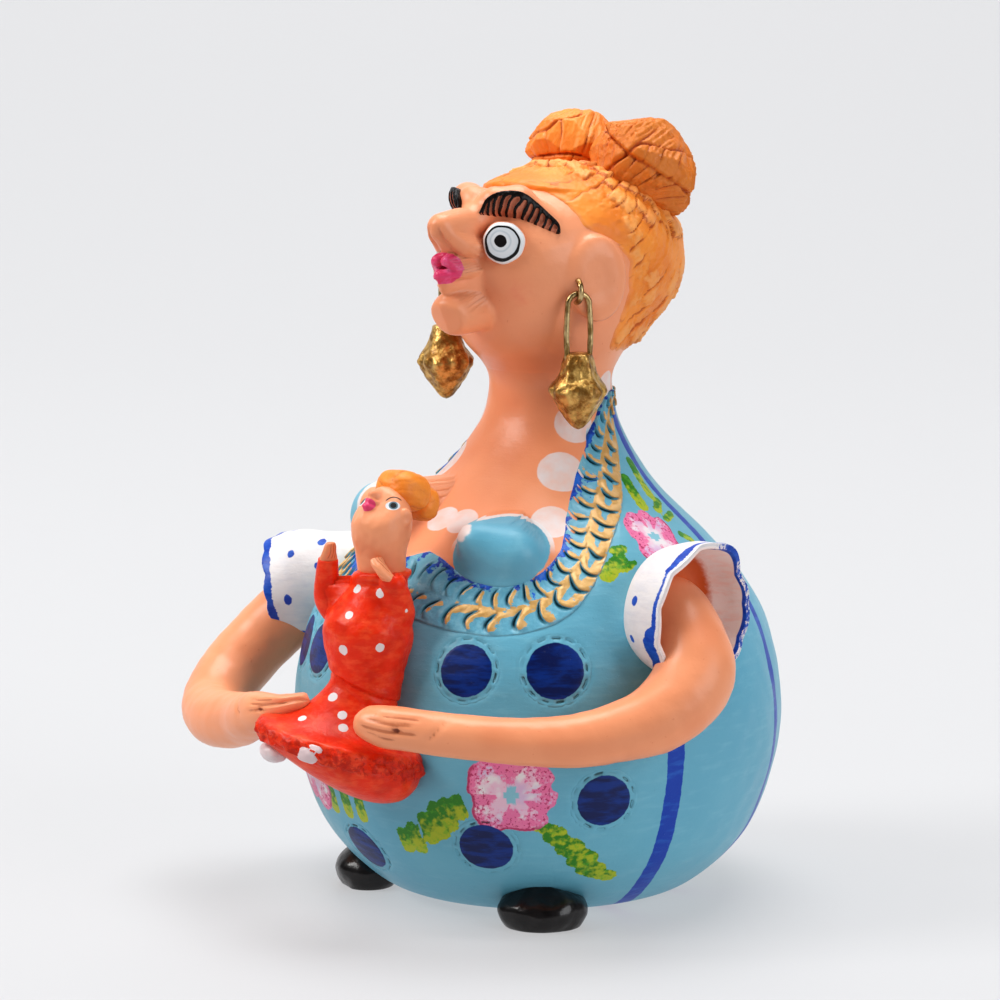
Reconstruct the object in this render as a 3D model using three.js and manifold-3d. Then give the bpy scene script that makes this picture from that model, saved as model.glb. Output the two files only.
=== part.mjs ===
// Painted clay figurine: a stout seated woman who holds a small girl against her belly.
// Millimetres, +Z up. The woman looks along -Y and her left side is +X.
// The origin is the centre of the flat underside, on the surface she stands on.
import * as THREE from "three";
import { mergeVertices } from "three/addons/utils/BufferGeometryUtils.js";
import Module from "manifold-3d";

const wasm = await Module();
wasm.setup();

// Driving dimensions
const BODY_RADIUS = 68.9;
const NECK_TOP = 153;
const NECK_SET_BACK = 5.4;
const NECK_SET_BACK_FROM = 95;
const NECK_SET_BACK_TO = 140;
const HEAD_CENTRE = [0, 9.6, 178];
const HEAD_RADII = [28, 41, 28];
const CROWN_SHARE = 0.885;
const HAIR_THICKNESS = 1.8;
const HAIRLINE = { at: [0, -27, 200], tilt: 40 };
const EARS = {
  left: { side: 1, root: [23.2, -12, 171.4], turn: -32 },
  right: { side: -1, root: [-24.8, -8, 175.4], turn: -15 },
};
const HOOK = { half: 3.2, reach: 4.1, sunk: 3.4 };
const LINK = { half: 3.1, hang: 2, top: -0.6, foot: -19.6 };
const DROP = { radius: 7.8, top: -16.6, belt: -27.4, tip: -38 };
const WIRE_RADIUS = 0.8;
const CLAY_GAP = 0.3;

// The body's outline as shares of its widest radius, with heights in millimetres.
const BODY_OUTLINE = [
  [0.45, 0],
  [0.645, 3.5],
  [0.83, 15],
  [0.945, 30],
  [1, 50],
  [0.962, 70],
  [0.872, 85],
  [0.695, 100],
  [0.46, 115],
  [0.297, 130],
  [0.251, 142],
  [0.27, NECK_TOP],
];

// The face in profile, from the forehead down to the underside of the chin.
const PROFILE_BACK = -12;
const PROFILE = [
  { z: 201, front: -18, half: 4 },
  { z: 197.5, front: -27, half: 7 },
  { z: 194.5, front: -31.5, half: 7 },
  { z: 193, front: -38, half: 4.6 },
  { z: 190.8, front: -44.2, half: 4.6 },
  { z: 188, front: -45.2, half: 6 },
  { z: 184.4, front: -41.6, half: 6.6 },
  { z: 182.2, front: -39.6, half: 6.2 },
  { z: 180, front: -42.6, half: 6 },
  { z: 178.4, front: -41.8, half: 6.2 },
  { z: 176.2, front: -43.7, half: 6.4 },
  { z: 173.4, front: -40.6, half: 6 },
  { z: 169.5, front: -42.4, half: 7.4 },
  { z: 165, front: -41, half: 7.8 },
  { z: 161.4, front: -37, half: 6.8 },
  { z: 159.4, front: -29, half: 4.4 },
];

const vec = ([x, y, z]) => new THREE.Vector3(x, y, z);

// A closed three.js geometry as a solid that can be joined and cut.
function solidOf(geometry) {
  const bare = new THREE.BufferGeometry();
  const flat = geometry.index ? geometry.toNonIndexed() : geometry;
  bare.setAttribute("position", flat.getAttribute("position"));
  const merged = mergeVertices(bare, 1e-3);
  return new wasm.Manifold(
    new wasm.Mesh({
      numProp: 3,
      vertProperties: merged.attributes.position.array,
      triVerts: new Uint32Array(merged.index.array),
    }),
  );
}

function geometryOf(solid) {
  const { vertProperties, triVerts, numProp } = solid.getMesh();
  const count = vertProperties.length / numProp;
  const positions = new Float32Array(count * 3);
  for (let i = 0; i < count; i++) {
    positions.set(vertProperties.subarray(i * numProp, i * numProp + 3), i * 3);
  }
  const geometry = new THREE.BufferGeometry();
  geometry.setAttribute("position", new THREE.BufferAttribute(positions, 3));
  geometry.setIndex(new THREE.BufferAttribute(triVerts, 1));
  geometry.computeVertexNormals();
  return geometry;
}

// Moves every vertex of a geometry by a function of its place.
function reshaped(geometry, move) {
  const position = geometry.getAttribute("position");
  const point = new THREE.Vector3();
  for (let i = 0; i < position.count; i++) {
    point.fromBufferAttribute(position, i);
    move(point);
    position.setXYZ(i, point.x, point.y, point.z);
  }
  return geometry;
}

// A sphere stretched to three radii, turned by Euler angles in degrees, and moved to its centre.
function lump(centre, radii, turn = [0, 0, 0], segments = 10) {
  const geometry = new THREE.SphereGeometry(1, segments, Math.round(segments * 0.6));
  geometry.rotateX(Math.PI / 2);
  geometry.scale(...radii);
  const [x, y, z] = turn.map(THREE.MathUtils.degToRad);
  geometry.rotateX(x).rotateY(y).rotateZ(z);
  geometry.translate(...centre);
  return solidOf(geometry);
}

// A rolled limb: rings of the given radii at stations along a smooth curve, closed at both ends.
function limb(stations, { sides = 12, steps = 22, flatten = () => 1 } = {}) {
  const curve = new THREE.CatmullRomCurve3(stations.map(({ at }) => vec(at)), false, "centripetal");
  const frames = curve.computeFrenetFrames(steps, false);
  const positions = [];
  const index = [];
  for (let i = 0; i <= steps; i++) {
    const t = i / steps;
    const place = t * (stations.length - 1);
    const k = Math.min(Math.floor(place), stations.length - 2);
    const radius = THREE.MathUtils.lerp(stations[k].radius, stations[k + 1].radius, place - k);
    const centre = curve.getPoint(t);
    for (let j = 0; j < sides; j++) {
      const angle = (2 * Math.PI * j) / sides;
      const across = Math.cos(angle) * radius;
      const rise = Math.sin(angle) * radius * flatten(t);
      const point = centre
        .clone()
        .addScaledVector(frames.normals[i], across)
        .addScaledVector(frames.binormals[i], rise);
      positions.push(point.x, point.y, point.z);
    }
  }
  for (const end of [0, 1]) {
    const radius = stations[end * (stations.length - 1)].radius;
    const tip = curve
      .getPoint(end)
      .addScaledVector(frames.tangents[end * steps], (end ? 1 : -1) * radius * 0.5);
    positions.push(tip.x, tip.y, tip.z);
  }
  const firstTip = (steps + 1) * sides;
  for (let j = 0; j < sides; j++) {
    const next = (j + 1) % sides;
    for (let i = 0; i < steps; i++) {
      const a = i * sides;
      const b = a + sides;
      index.push(a + j, a + next, b + next, a + j, b + next, b + j);
    }
    index.push(firstTip, next, j);
    index.push(firstTip + 1, steps * sides + j, steps * sides + next);
  }
  const geometry = new THREE.BufferGeometry();
  geometry.setAttribute("position", new THREE.Float32BufferAttribute(positions, 3));
  geometry.setIndex(index);
  const solid = solidOf(geometry);
  return solid.volume() < 0 ? solidOf(inverted(geometry)) : solid;
}

function inverted(geometry) {
  const order = [...geometry.index.array];
  for (let i = 0; i < order.length; i += 3) {
    [order[i], order[i + 1]] = [order[i + 1], order[i]];
  }
  geometry.setIndex(order);
  return geometry;
}

// A turned piece: an outline of [radius, height] points spun round +Z.
function turned(outline, segments) {
  const points = outline.map(([r, z]) => new THREE.Vector2(r, z));
  return new THREE.LatheGeometry(points, segments).rotateX(Math.PI / 2);
}

const joined = (solids) => solids.reduce((all, next) => all.add(next));

// The pot-shaped body with its neck, which sets back a little as it rises.
function body() {
  const curve = new THREE.SplineCurve(
    BODY_OUTLINE.map(([share, z]) => new THREE.Vector2(share * BODY_RADIUS, z)),
  );
  const rows = curve.getPoints(19).map((p) => [p.x, p.y]);
  rows[0][1] = 0;
  const outline = [[0, 0], ...rows, [0, NECK_TOP]];
  const geometry = reshaped(turned(outline, 38), (p) => {
    p.y += NECK_SET_BACK * THREE.MathUtils.smoothstep(p.z, NECK_SET_BACK_FROM, NECK_SET_BACK_TO);
  });
  const breasts = [
    lump([20.5, -41, 101.2], [13.2, 11, 11]),
    lump([-22.2, -41, 108], [9.8, 10, 10.4]),
  ];
  return joined([solidOf(geometry), ...breasts]);
}

// The narrow ridge down the middle of the face: forehead, nose, lips and chin.
// Each level is an ellipse that reaches from inside the skull to the profile.
function muzzle(sides) {
  const positions = [];
  const index = [];
  PROFILE.forEach(({ z, front, half }) => {
    const middle = (front + PROFILE_BACK) / 2;
    for (let j = 0; j < sides; j++) {
      const angle = (2 * Math.PI * j) / sides;
      positions.push(half * Math.cos(angle), middle + (PROFILE_BACK - middle) * Math.sin(angle), z);
    }
  });
  const last = (PROFILE.length - 1) * sides;
  positions.push(0, PROFILE_BACK - 4, PROFILE[0].z, 0, PROFILE_BACK - 4, PROFILE.at(-1).z);
  for (let j = 0; j < sides; j++) {
    const next = (j + 1) % sides;
    for (let row = 0; row < last; row += sides) {
      index.push(row + j, row + sides + j, row + sides + next, row + j, row + sides + next, row + next);
    }
    index.push(last + sides, j, next, last + sides + 1, last + next, last + j);
  }
  const geometry = new THREE.BufferGeometry();
  geometry.setAttribute("position", new THREE.Float32BufferAttribute(positions, 3));
  geometry.setIndex(index);
  return solidOf(geometry);
}

// The egg of the skull, flatter over the crown than below, grown by an extra thickness.
function skullLump(centre, extra, segments) {
  const geometry = new THREE.SphereGeometry(1, segments, Math.round(segments * 0.6));
  geometry.rotateX(Math.PI / 2);
  reshaped(geometry, (p) => {
    p.z *= p.z > 0 ? CROWN_SHARE : 1;
  });
  geometry.scale(...HEAD_RADII.map((r) => r + extra));
  geometry.translate(...centre);
  return solidOf(geometry);
}

// The head with its face ridge, eyes, brows and round ears.
function head() {
  const skull = skullLump(HEAD_CENTRE, 0, 22);
  const jaw = lump([0, 4, 160], [20, 25, 15], [0, 0, 0], 16);
  const sides = [1, -1].flatMap((side) => [
    lump([side * 11.2, -28, 185], [6.3, 2.6, 6.3], [0, 0, side * 38]),
    lump([side * 24.2, -2.2, 174.5], [3.2, 9.6, 13], [0, 0, side * -18], 12),
    limb(
      [
        { at: [side * 4, -28.4, 194.4], radius: 1.6 },
        { at: [side * 10, -23.2, 197.2], radius: 2.2 },
        { at: [side * 16.5, -16.6, 195.4], radius: 1.9 },
        { at: [side * 21, -13, 188.4], radius: 1.4 },
      ],
      { sides: 6, steps: 8 },
    ),
  ]);
  return joined([skull, jaw, muzzle(10), ...sides]);
}

// Hair: a cap behind a sloping hairline, and two buns on top of it.
function hair() {
  const [x, y, z] = HEAD_CENTRE;
  const cap = skullLump([x, y + 2.5, z - 1], HAIR_THICKNESS, 22);
  const front = new THREE.BoxGeometry(200, 200, 200);
  front.translate(0, -100, 0);
  front.rotateX(THREE.MathUtils.degToRad(HAIRLINE.tilt));
  front.translate(...HAIRLINE.at);
  const nape = lump([0, 22, 157], [19, 20, 14], [20, 0, 0], 14);
  const buns = [
    lump([14.2, 28.5, 202.8], [15.8, 12.8, 12.4], [0, 37, 39], 14),
    lump([-11.6, 29, 207], [12.8, 12.6, 10.8], [0, 0, 40], 14),
  ];
  return joined([cap.subtract(solidOf(front)), nape, ...buns]);
}

// The bent arms, rolled from clay, each ending in a mitten hand on the girl's skirt.
const LEFT_ARM = [
  { at: [50, -14, 87], radius: 9 },
  { at: [62, -19, 87], radius: 10 },
  { at: [70, -22, 81], radius: 10.4 },
  { at: [75, -26, 72], radius: 11 },
  { at: [73.2, -36, 64], radius: 9.8 },
  { at: [66, -47, 59.5], radius: 8 },
  { at: [55.5, -59, 57.5], radius: 6.8 },
  { at: [40.5, -73, 58.5], radius: 6.1 },
  { at: [27, -82, 60.3], radius: 6.1 },
  { at: [19, -86, 61], radius: 5.9 },
  { at: [12.5, -88.3, 61.6], radius: 4.2 },
];
const RIGHT_ARM = [
  { at: [-50, -12, 90], radius: 9 },
  { at: [-62, -19, 82.5], radius: 10.4 },
  { at: [-74, -29, 70], radius: 9.8 },
  { at: [-79.3, -42.5, 57], radius: 9.6 },
  { at: [-73.8, -56, 50], radius: 8.8 },
  { at: [-61, -66, 49.5], radius: 8.2 },
  { at: [-46, -73, 52.5], radius: 7.4 },
  { at: [-36, -80, 56], radius: 6.4 },
  { at: [-27, -84.5, 59], radius: 5.4 },
  { at: [-19, -86.5, 61.2], radius: 4.2 },
  { at: [-12, -86, 63.6], radius: 2.8 },
];

// A bell-shaped sleeve with a wavy rim, a cup that is open round the arm and rooted in the body.
function sleeve({ centre, aim, length, base, rim, root, floor, wall = 2.2, waves = 6, wave = 1.1 }) {
  const outline = [
    [0, -root - 2],
    [base - 9, -root - 2],
    [base - 3, -root],
    [base, 0],
    [(base + rim) / 2 + 0.8, length * 0.55],
    [rim, length],
    [rim - wall, length],
    [base - wall, floor],
    [0, floor],
  ];
  const geometry = reshaped(turned(outline, 24), (p) => {
    const share = THREE.MathUtils.clamp(p.z / length, 0, 1) ** 2;
    const radius = Math.hypot(p.x, p.y);
    const ripple = 1 + (wave * share * Math.cos(waves * Math.atan2(p.y, p.x))) / radius;
    p.x *= ripple;
    p.y *= ripple;
  });
  const direction = vec(aim).normalize();
  geometry.applyQuaternion(
    new THREE.Quaternion().setFromUnitVectors(new THREE.Vector3(0, 0, 1), direction),
  );
  geometry.translate(...centre);
  return solidOf(geometry);
}

// The girl: a dress with a wide skirt, raised arms, and a head tipped back.
function girl() {
  const torso = limb(
    [
      { at: [-0.6, -72.8, 62], radius: 8.8 },
      { at: [-1, -71.5, 72], radius: 10 },
      { at: [-1.2, -70.4, 82], radius: 10.8 },
      { at: [-0.4, -68.8, 90], radius: 9.6 },
      { at: [0.4, -67.2, 97.6], radius: 7.4 },
    ],
    { sides: 12, steps: 8 },
  );
  const neck = limb(
    [
      { at: [0.4, -66.4, 95], radius: 6.1 },
      { at: [0.4, -67, 102], radius: 6.8 },
      { at: [0.4, -67.4, 108], radius: 7.2 },
    ],
    { sides: 10, steps: 4 },
  );
  const face = lump([0.4, -66, 111.6], [7.5, 7.8, 8.6], [-30, 0, 0]);
  const curls = [
    lump([0.4, -58, 119.2], [6.9, 7.2, 5.6], [-18, 0, 0]),
    lump([0.6, -50.6, 114.8], [5, 4, 4.8], [-12, 0, 0]),
  ];
  const arms = [
    limb(
      [
        { at: [7, -66, 88], radius: 3.8 },
        { at: [8.6, -69.5, 93], radius: 3.6 },
        { at: [7.4, -73, 98.5], radius: 2.7 },
        { at: [4.8, -74, 102.8], radius: 1.8 },
      ],
      { sides: 7, steps: 6 },
    ),
    limb(
      [
        { at: [-8.5, -71, 83], radius: 4.2 },
        { at: [-12.2, -74.2, 91], radius: 3.9 },
        { at: [-12.2, -74.7, 98], radius: 3.1 },
        { at: [-10.8, -75, 105], radius: 1.8 },
      ],
      { sides: 7, steps: 6 },
    ),
  ];
  const waist = limb(
    [
      { at: [-0.6, -73, 69], radius: 9 },
      { at: [-1.2, -75, 61.5], radius: 11.6 },
      { at: [-2.4, -78, 54.5], radius: 17 },
    ],
    { sides: 14, steps: 4 },
  );
  const skirt = lump([-3.2, -79.7, 50.4], [22.3, 19.6, 11], [0, 12.7, 40], 16);
  const shoes = [
    lump([-14.2, -94.2, 51.2], [4.4, 3.7, 2.9]),
    lump([1.2, -95.8, 53.4], [4.6, 4, 3.4]),
  ];
  return joined([torso, neck, face, ...curls, ...arms, waist, skirt, ...shoes]);
}

// Two black shoe tips that peep out under the dress.
function feet() {
  const tips = [
    lump([33.2, -38.2, 4.4], [12, 10.4, 8.4], [0, 0, 41], 12),
    lump([-35, -33.6, 4.4], [10.6, 9.4, 7.6], [0, 0, -41], 12),
  ];
  const floor = new THREE.BoxGeometry(300, 300, 20);
  floor.translate(0, 0, -10);
  return joined(tips).subtract(solidOf(floor));
}

// One side's earring, drawn about its root in the ear: the hook lies in X-Z, the link in Y-Z.
// The wire staple in the ear is a half ring whose ends go into the clay.
function earHook(extra = 0) {
  const points = [[-HOOK.sunk, 0, HOOK.half]];
  for (let i = 0; i <= 6; i++) {
    const angle = (Math.PI * i) / 6;
    points.push([HOOK.reach * Math.sin(angle), 0, HOOK.half * Math.cos(angle)]);
  }
  points.push([-HOOK.sunk, 0, -HOOK.half]);
  return limb(
    points.map((at) => ({ at, radius: WIRE_RADIUS + extra })),
    { sides: 6, steps: 12 },
  );
}

// The long wire link that hangs in the staple, with its two legs set in the clay drop.
function earLink(extra = 0) {
  const points = [
    [LINK.hang, -LINK.half, LINK.foot],
    [LINK.hang, -LINK.half, LINK.foot + 8],
  ];
  for (let i = 0; i <= 6; i++) {
    const angle = (Math.PI * i) / 6;
    const rise = LINK.top - LINK.half + LINK.half * Math.sin(angle);
    points.push([LINK.hang, -LINK.half * Math.cos(angle), rise]);
  }
  points.push([LINK.hang, LINK.half, LINK.foot + 8], [LINK.hang, LINK.half, LINK.foot]);
  return limb(
    points.map((at) => ({ at, radius: WIRE_RADIUS + extra })),
    { sides: 6, steps: 16 },
  );
}

// The gilded clay drop: a cone over a wide belt over a longer point.
function earDrop() {
  const outline = [
    [0, DROP.tip],
    [1.6, DROP.tip + 0.7],
    [DROP.radius * 0.93, DROP.belt - 2.2],
    [DROP.radius, DROP.belt],
    [DROP.radius * 0.91, DROP.belt + 2],
    [4.4, DROP.top - 2.6],
    [3.6, DROP.top - 0.7],
    [0, DROP.top],
  ];
  return solidOf(turned(outline, 14).translate(LINK.hang, 0, 0));
}

// Puts an earring piece on its ear; the far side is the same piece reflected.
function worn(solid, { side, root, turn }) {
  const seated = solid.rotate([0, 0, turn]).translate([side * root[0], root[1], root[2]]);
  return side > 0 ? seated : seated.mirror([1, 0, 0]);
}

const clay = new THREE.MeshStandardMaterial({ color: 0x6fb3c8, roughness: 0.35 });
const brassWire = new THREE.MeshStandardMaterial({ color: 0x8a7446, roughness: 0.4, metalness: 1 });
const gilt = new THREE.MeshStandardMaterial({ color: 0xa8843f, roughness: 0.45, metalness: 0.6 });

const group = new THREE.Group();
function place(name, solid, material) {
  const mesh = new THREE.Mesh(geometryOf(solid), material);
  mesh.name = name;
  group.add(mesh);
}

const sleeves = [
  {
    centre: [57.5, -17.5, 88.8],
    aim: [1, 0, -0.08],
    length: 14.5,
    base: 15.8,
    rim: 20,
    root: 2,
    floor: 3,
  },
  {
    centre: [-60.6, -19.4, 83.8],
    aim: [-1, -0.35, -0.25],
    length: 15.2,
    base: 13.5,
    rim: 15.8,
    root: 12,
    floor: 9.5,
  },
];
const drop = earDrop().subtract(earLink(CLAY_GAP));

const clayPiece = joined([
  body(),
  head(),
  hair(),
  ...sleeves.map(sleeve),
  limb(LEFT_ARM, { sides: 10, steps: 18 }),
  limb(RIGHT_ARM, { sides: 10, steps: 18 }),
  girl(),
  feet(),
]);
const figure = Object.values(EARS).reduce(
  (solid, ear) => solid.subtract(worn(earHook(CLAY_GAP), ear)),
  clayPiece,
);

place("figure", figure, clay);
for (const [name, ear] of Object.entries(EARS)) {
  place(`${name}_ear_hook`, worn(earHook(), ear), brassWire);
  place(`${name}_earring_link`, worn(earLink(), ear), brassWire);
  place(`${name}_earring_drop`, worn(drop, ear), gilt);
}

export default group;
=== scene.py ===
import logging
import math
from collections.abc import Callable, Sequence
from dataclasses import dataclass, field
from enum import Enum
from typing import Any

import bpy
import numpy as np
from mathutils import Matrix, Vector

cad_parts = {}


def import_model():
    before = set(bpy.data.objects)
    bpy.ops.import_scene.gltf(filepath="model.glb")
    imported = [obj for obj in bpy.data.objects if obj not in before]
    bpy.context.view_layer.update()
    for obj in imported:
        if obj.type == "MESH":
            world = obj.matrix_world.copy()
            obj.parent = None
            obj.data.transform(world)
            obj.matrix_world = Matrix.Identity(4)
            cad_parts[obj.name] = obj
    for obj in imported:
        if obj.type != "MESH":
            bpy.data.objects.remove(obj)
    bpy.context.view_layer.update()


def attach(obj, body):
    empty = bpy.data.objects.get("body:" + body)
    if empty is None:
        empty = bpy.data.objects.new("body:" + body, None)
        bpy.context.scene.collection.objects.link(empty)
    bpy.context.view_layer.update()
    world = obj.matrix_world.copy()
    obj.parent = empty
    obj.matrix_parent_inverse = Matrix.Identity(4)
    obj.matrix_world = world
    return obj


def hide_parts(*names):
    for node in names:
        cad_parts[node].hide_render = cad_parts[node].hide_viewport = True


# Looks of a painted clay figurine: a stout woman who holds a small girl against her belly.
# Every shape is worked out in millimetres in the part's frame: +Z up, the woman faces -Y.

Array = np.ndarray
Shape = Callable[[Array], Array]
Place = tuple[float, float, float]
Material = bpy.types.Material
Piece = bpy.types.Object

MM = 0.001
STRIDE = 0.88  # share of the distance that is taken at each step towards a shape
BODY = "root"
CLAY_NODE = "figure"
log = logging.getLogger("figurine")


class Slot(Enum):
    """The record's material slots."""

    CLAY = "painted_clay"
    WIRE = "wire"
    GILT = "gilt_clay"


# Shape maths


def smooth(x: Array, low: float, high: float) -> Array:
    """A soft step, 3t^2 - 2t^3, from 0 at low to 1 at high."""
    t = np.clip((x - low) / (high - low), 0.0, 1.0)
    return t * t * (3 - 2 * t)


def bell(x: Array, width: float) -> Array:
    """A bump, e^-(x / width)^2, that is 1 at 0 and dies away on both sides."""
    return np.exp(-((x / width) ** 2))


def unit(vectors: Sequence[float] | Array) -> Array:
    """The same directions with a length of 1."""
    return vectors / np.linalg.norm(vectors, axis=-1, keepdims=True)


def upright(out: Array) -> tuple[Array, Array]:
    """The level and the rising direction of a surface that faces out."""
    right = unit(np.cross([0, 0, 1.0], out))
    return right, np.cross(out, right)


def full_turn(count: int) -> Array:
    """Equal steps of a turn in radians, without the last."""
    return np.linspace(0, 2 * math.pi, count, endpoint=False)


def turned_from(turn: Array, angle: float) -> Array:
    """The shortest turn to each angle from one in degrees, in radians."""
    return np.angle(np.exp(1j * (turn - math.radians(angle))))


def folded(points: Array, middle: float = 0.0) -> Array:
    """The points with X as the distance from a middle plane, so that both sides are alike."""
    return np.concatenate([np.abs(points[..., :1] - middle), points[..., 1:]], axis=-1)


def soft_union(a: Array, b: Array, width: float) -> Array:
    """The lesser of two distances, with a fillet about as wide as width where they meet."""
    h = np.clip(0.5 + 0.5 * (b - a) / width, 0.0, 1.0)
    return b + (a - b) * h - width * h * (1 - h)


def soft_cut(a: Array, b: Array, width: float) -> Array:
    """Shape a with shape b taken away, the edge eased over width."""
    return -soft_union(-a, b, width)


def turned_axes(turn: Place) -> Array:
    """The matrix of a turn about X, then Y, then Z, in degrees."""
    x, y, z = (math.radians(angle) for angle in turn)
    about_x = np.array([[1, 0, 0], [0, math.cos(x), -math.sin(x)], [0, math.sin(x), math.cos(x)]])
    about_y = np.array([[math.cos(y), 0, math.sin(y)], [0, 1, 0], [-math.sin(y), 0, math.cos(y)]])
    about_z = np.array([[math.cos(z), -math.sin(z), 0], [math.sin(z), math.cos(z), 0], [0, 0, 1]])
    return about_z @ about_y @ about_x


def pebble(points: Array, centre: Place, radii: Place, turn: Place = (0, 0, 0)) -> Array:
    """Distance to an ellipsoid, k0 (k0 - 1) / k1 with k0 = |p / r| and k1 = |p / r^2|."""
    local = (points - np.array(centre)) @ turned_axes(turn)
    size = np.array(radii)
    near = np.linalg.norm(local / size, axis=-1)
    slope = np.linalg.norm(local / size**2, axis=-1)
    return near * (near - 1) / np.maximum(slope, 1e-6)


def roll(points: Array, start: Place, end: Place, first: float, last: float) -> Array:
    """Distance to a tapered roll of clay between two points."""
    a = np.array(start, dtype=float)
    along = np.array(end, dtype=float) - a
    t = np.clip((points - a) @ along / (along @ along), 0, 1)
    return np.linalg.norm(points - a - t[..., None] * along, axis=-1) - (first + (last - first) * t)


@dataclass(frozen=True)
class Dab:
    """A small tapered roll of clay that is laid on, or pressed in and taken away."""

    start: Place
    end: Place
    first: float
    last: float
    ease: float
    pressed: bool = False


def dabbed(near: Array, points: Array, dabs: Sequence[Dab]) -> Array:
    """Distance to a shape once the dabs are laid on or pressed in, one after another."""
    for dab in dabs:
        join = soft_cut if dab.pressed else soft_union
        near = join(near, roll(points, dab.start, dab.end, dab.first, dab.last), dab.ease)
    return near


def wobble(points: Array, size: float, seed: int, waves: int = 7) -> Array:
    """A smooth uneven field from -1 to 1: a mean of sines along random directions."""
    rng = np.random.default_rng(seed)
    heading = unit(rng.normal(size=(waves, points.shape[-1])))
    heading *= 2 * math.pi / size * rng.uniform(0.6, 1.7, size=(waves, 1))
    phase = rng.uniform(0, 2 * math.pi, size=waves)
    return np.sin(points @ heading.T + phase).sum(axis=-1) / math.sqrt(waves * 2)


def scatter(cell: Array, seed: float) -> Array:
    """A repeatable random number from 0 to 1 for each whole number."""
    value = np.sin(cell * 12.9898 + seed * 78.233) * 43758.5453
    return value - np.floor(value)


def stepped(run: Array, seed: float, ease: float) -> Array:
    """A random level for each whole number of run, eased into the next over the last part."""
    cell = np.floor(run)
    blend = smooth(run - cell, 1 - ease, 1.0)
    return scatter(cell, seed) * (1 - blend) + scatter(cell + 1, seed) * blend


def settle(origins: Array, headings: Array, shape: Shape, reach: float, steps: int = 34) -> Array:
    """Closes in on a shape from outside along each heading.

    Args:
        origins: start points inside the shape, or one for all.
        headings: unit vectors, one for each point.
        shape: signed distance, negative inside.
        reach: how far out the search starts.
        steps: how many times it closes in.

    Returns:
        The points of the surface.
    """
    distance = np.full(headings.shape[:-1], float(reach))
    for _ in range(steps):
        distance -= STRIDE * shape(origins + headings * distance[..., None])
    return origins + headings * distance[..., None]


def draw_in(way: Array, view: Place, shape: Shape, floor: float, reach: float, steps: int) -> Array:
    """Draws a globe of points in on a shape that is cut off level.

    Args:
        way: the directions of the points, seen from the view.
        view: a place inside the shape.
        shape: signed distance, negative inside.
        floor: the height of the cut.
        reach: how far out the search starts.
        steps: how many times it closes in.

    Returns:
        The points of the surface.
    """

    def cut(points: Array) -> Array:
        """The shape above the floor."""
        return np.maximum(shape(points), floor - points[..., 2])

    return settle(np.array(view), way, cut, reach, steps)


def through(stations: Sequence[Sequence[float]], count: int) -> Array:
    """Evenly timed points of a Catmull-Rom curve through the stations.

    Args:
        stations: the points it runs through.
        count: how many points are wanted.

    Returns:
        The points.
    """
    points = np.array(stations, dtype=float)
    place = np.linspace(0, len(points) - 1, count)
    k = np.minimum(place.astype(int), len(points) - 2)
    t = (place - k)[:, None]
    before = points[np.maximum(k - 1, 0)]
    start, end = points[k], points[k + 1]
    after = points[np.minimum(k + 2, len(points) - 1)]
    leave, arrive = (end - before) / 2, (after - start) / 2
    cubic = (2 * start - 2 * end + leave + arrive) * t**3
    square = (-3 * start + 3 * end - 2 * leave - arrive) * t**2
    return cubic + square + leave * t + start


def length_along(path: Array) -> Array:
    """The length of a path up to each of its points."""
    return np.concatenate([[0], np.cumsum(np.linalg.norm(np.diff(path, axis=0), axis=1))])


def evenly(path: Array, count: int) -> Array:
    """The same path with its points an equal length apart."""
    length = length_along(path)
    wanted = np.linspace(0, length[-1], count)
    return np.stack([np.interp(wanted, length, path[:, i]) for i in range(path.shape[1])], axis=1)


def rings_on(path: Array, wide: Array, tall: Array) -> Array:
    """Rings round a path, kept as upright as the path allows.

    Args:
        path: points of the middle line.
        wide: how far each ring point lies across the path, a row for each point of it.
        tall: how far it lies over the path.

    Returns:
        The points of the rings.
    """
    along = unit(np.gradient(path, axis=0))
    across = unit(np.cross([0, 0, 1.0], along))
    over = np.cross(along, across)
    return path[:, None] + wide[..., None] * across[:, None] + tall[..., None] * over[:, None]


def globe(rows: int, columns: int, crowd: float = 0.0) -> Array:
    """Unit vectors on a globe without its poles, the columns crowded towards -Y by crowd."""
    pitch = np.linspace(-math.pi / 2, math.pi / 2, rows + 2)[1:-1]
    turn = np.linspace(-math.pi, math.pi, columns, endpoint=False)
    yaw = turn - crowd * np.sin(turn)
    level = np.cos(pitch)[:, None]
    height = np.broadcast_to(np.sin(pitch)[:, None], (rows, columns))
    return np.stack([level * np.sin(yaw), -level * np.cos(yaw), height], axis=-1)


def pared(way: Array, seed: int, planes: int, least: float, most: float, ease: float) -> Array:
    """Radius of a globe of radius 1 that is pared flat with a knife.

    Args:
        way: directions from its middle.
        seed: number for the random choices.
        planes: how many flats.
        least: the nearest a flat may come to the middle.
        most: the furthest.
        ease: how soft the edges are.

    Returns:
        The radius in each direction.
    """
    rng = np.random.default_rng(seed)
    normals = unit(rng.normal(size=(planes, 3)))
    flat = np.min(rng.uniform(least, most, size=planes) / np.maximum(way @ normals.T, 1e-3), axis=-1)
    return soft_union(flat, np.ones_like(flat), ease)


def set_down(local: Array, radii: Place, turn: Place, centre: Place) -> Array:
    """A lump of radius 1 stretched to its radii, turned and moved to its place."""
    return (local * np.array(radii)) @ turned_axes(turn).T + np.array(centre)


# Meshes


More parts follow.
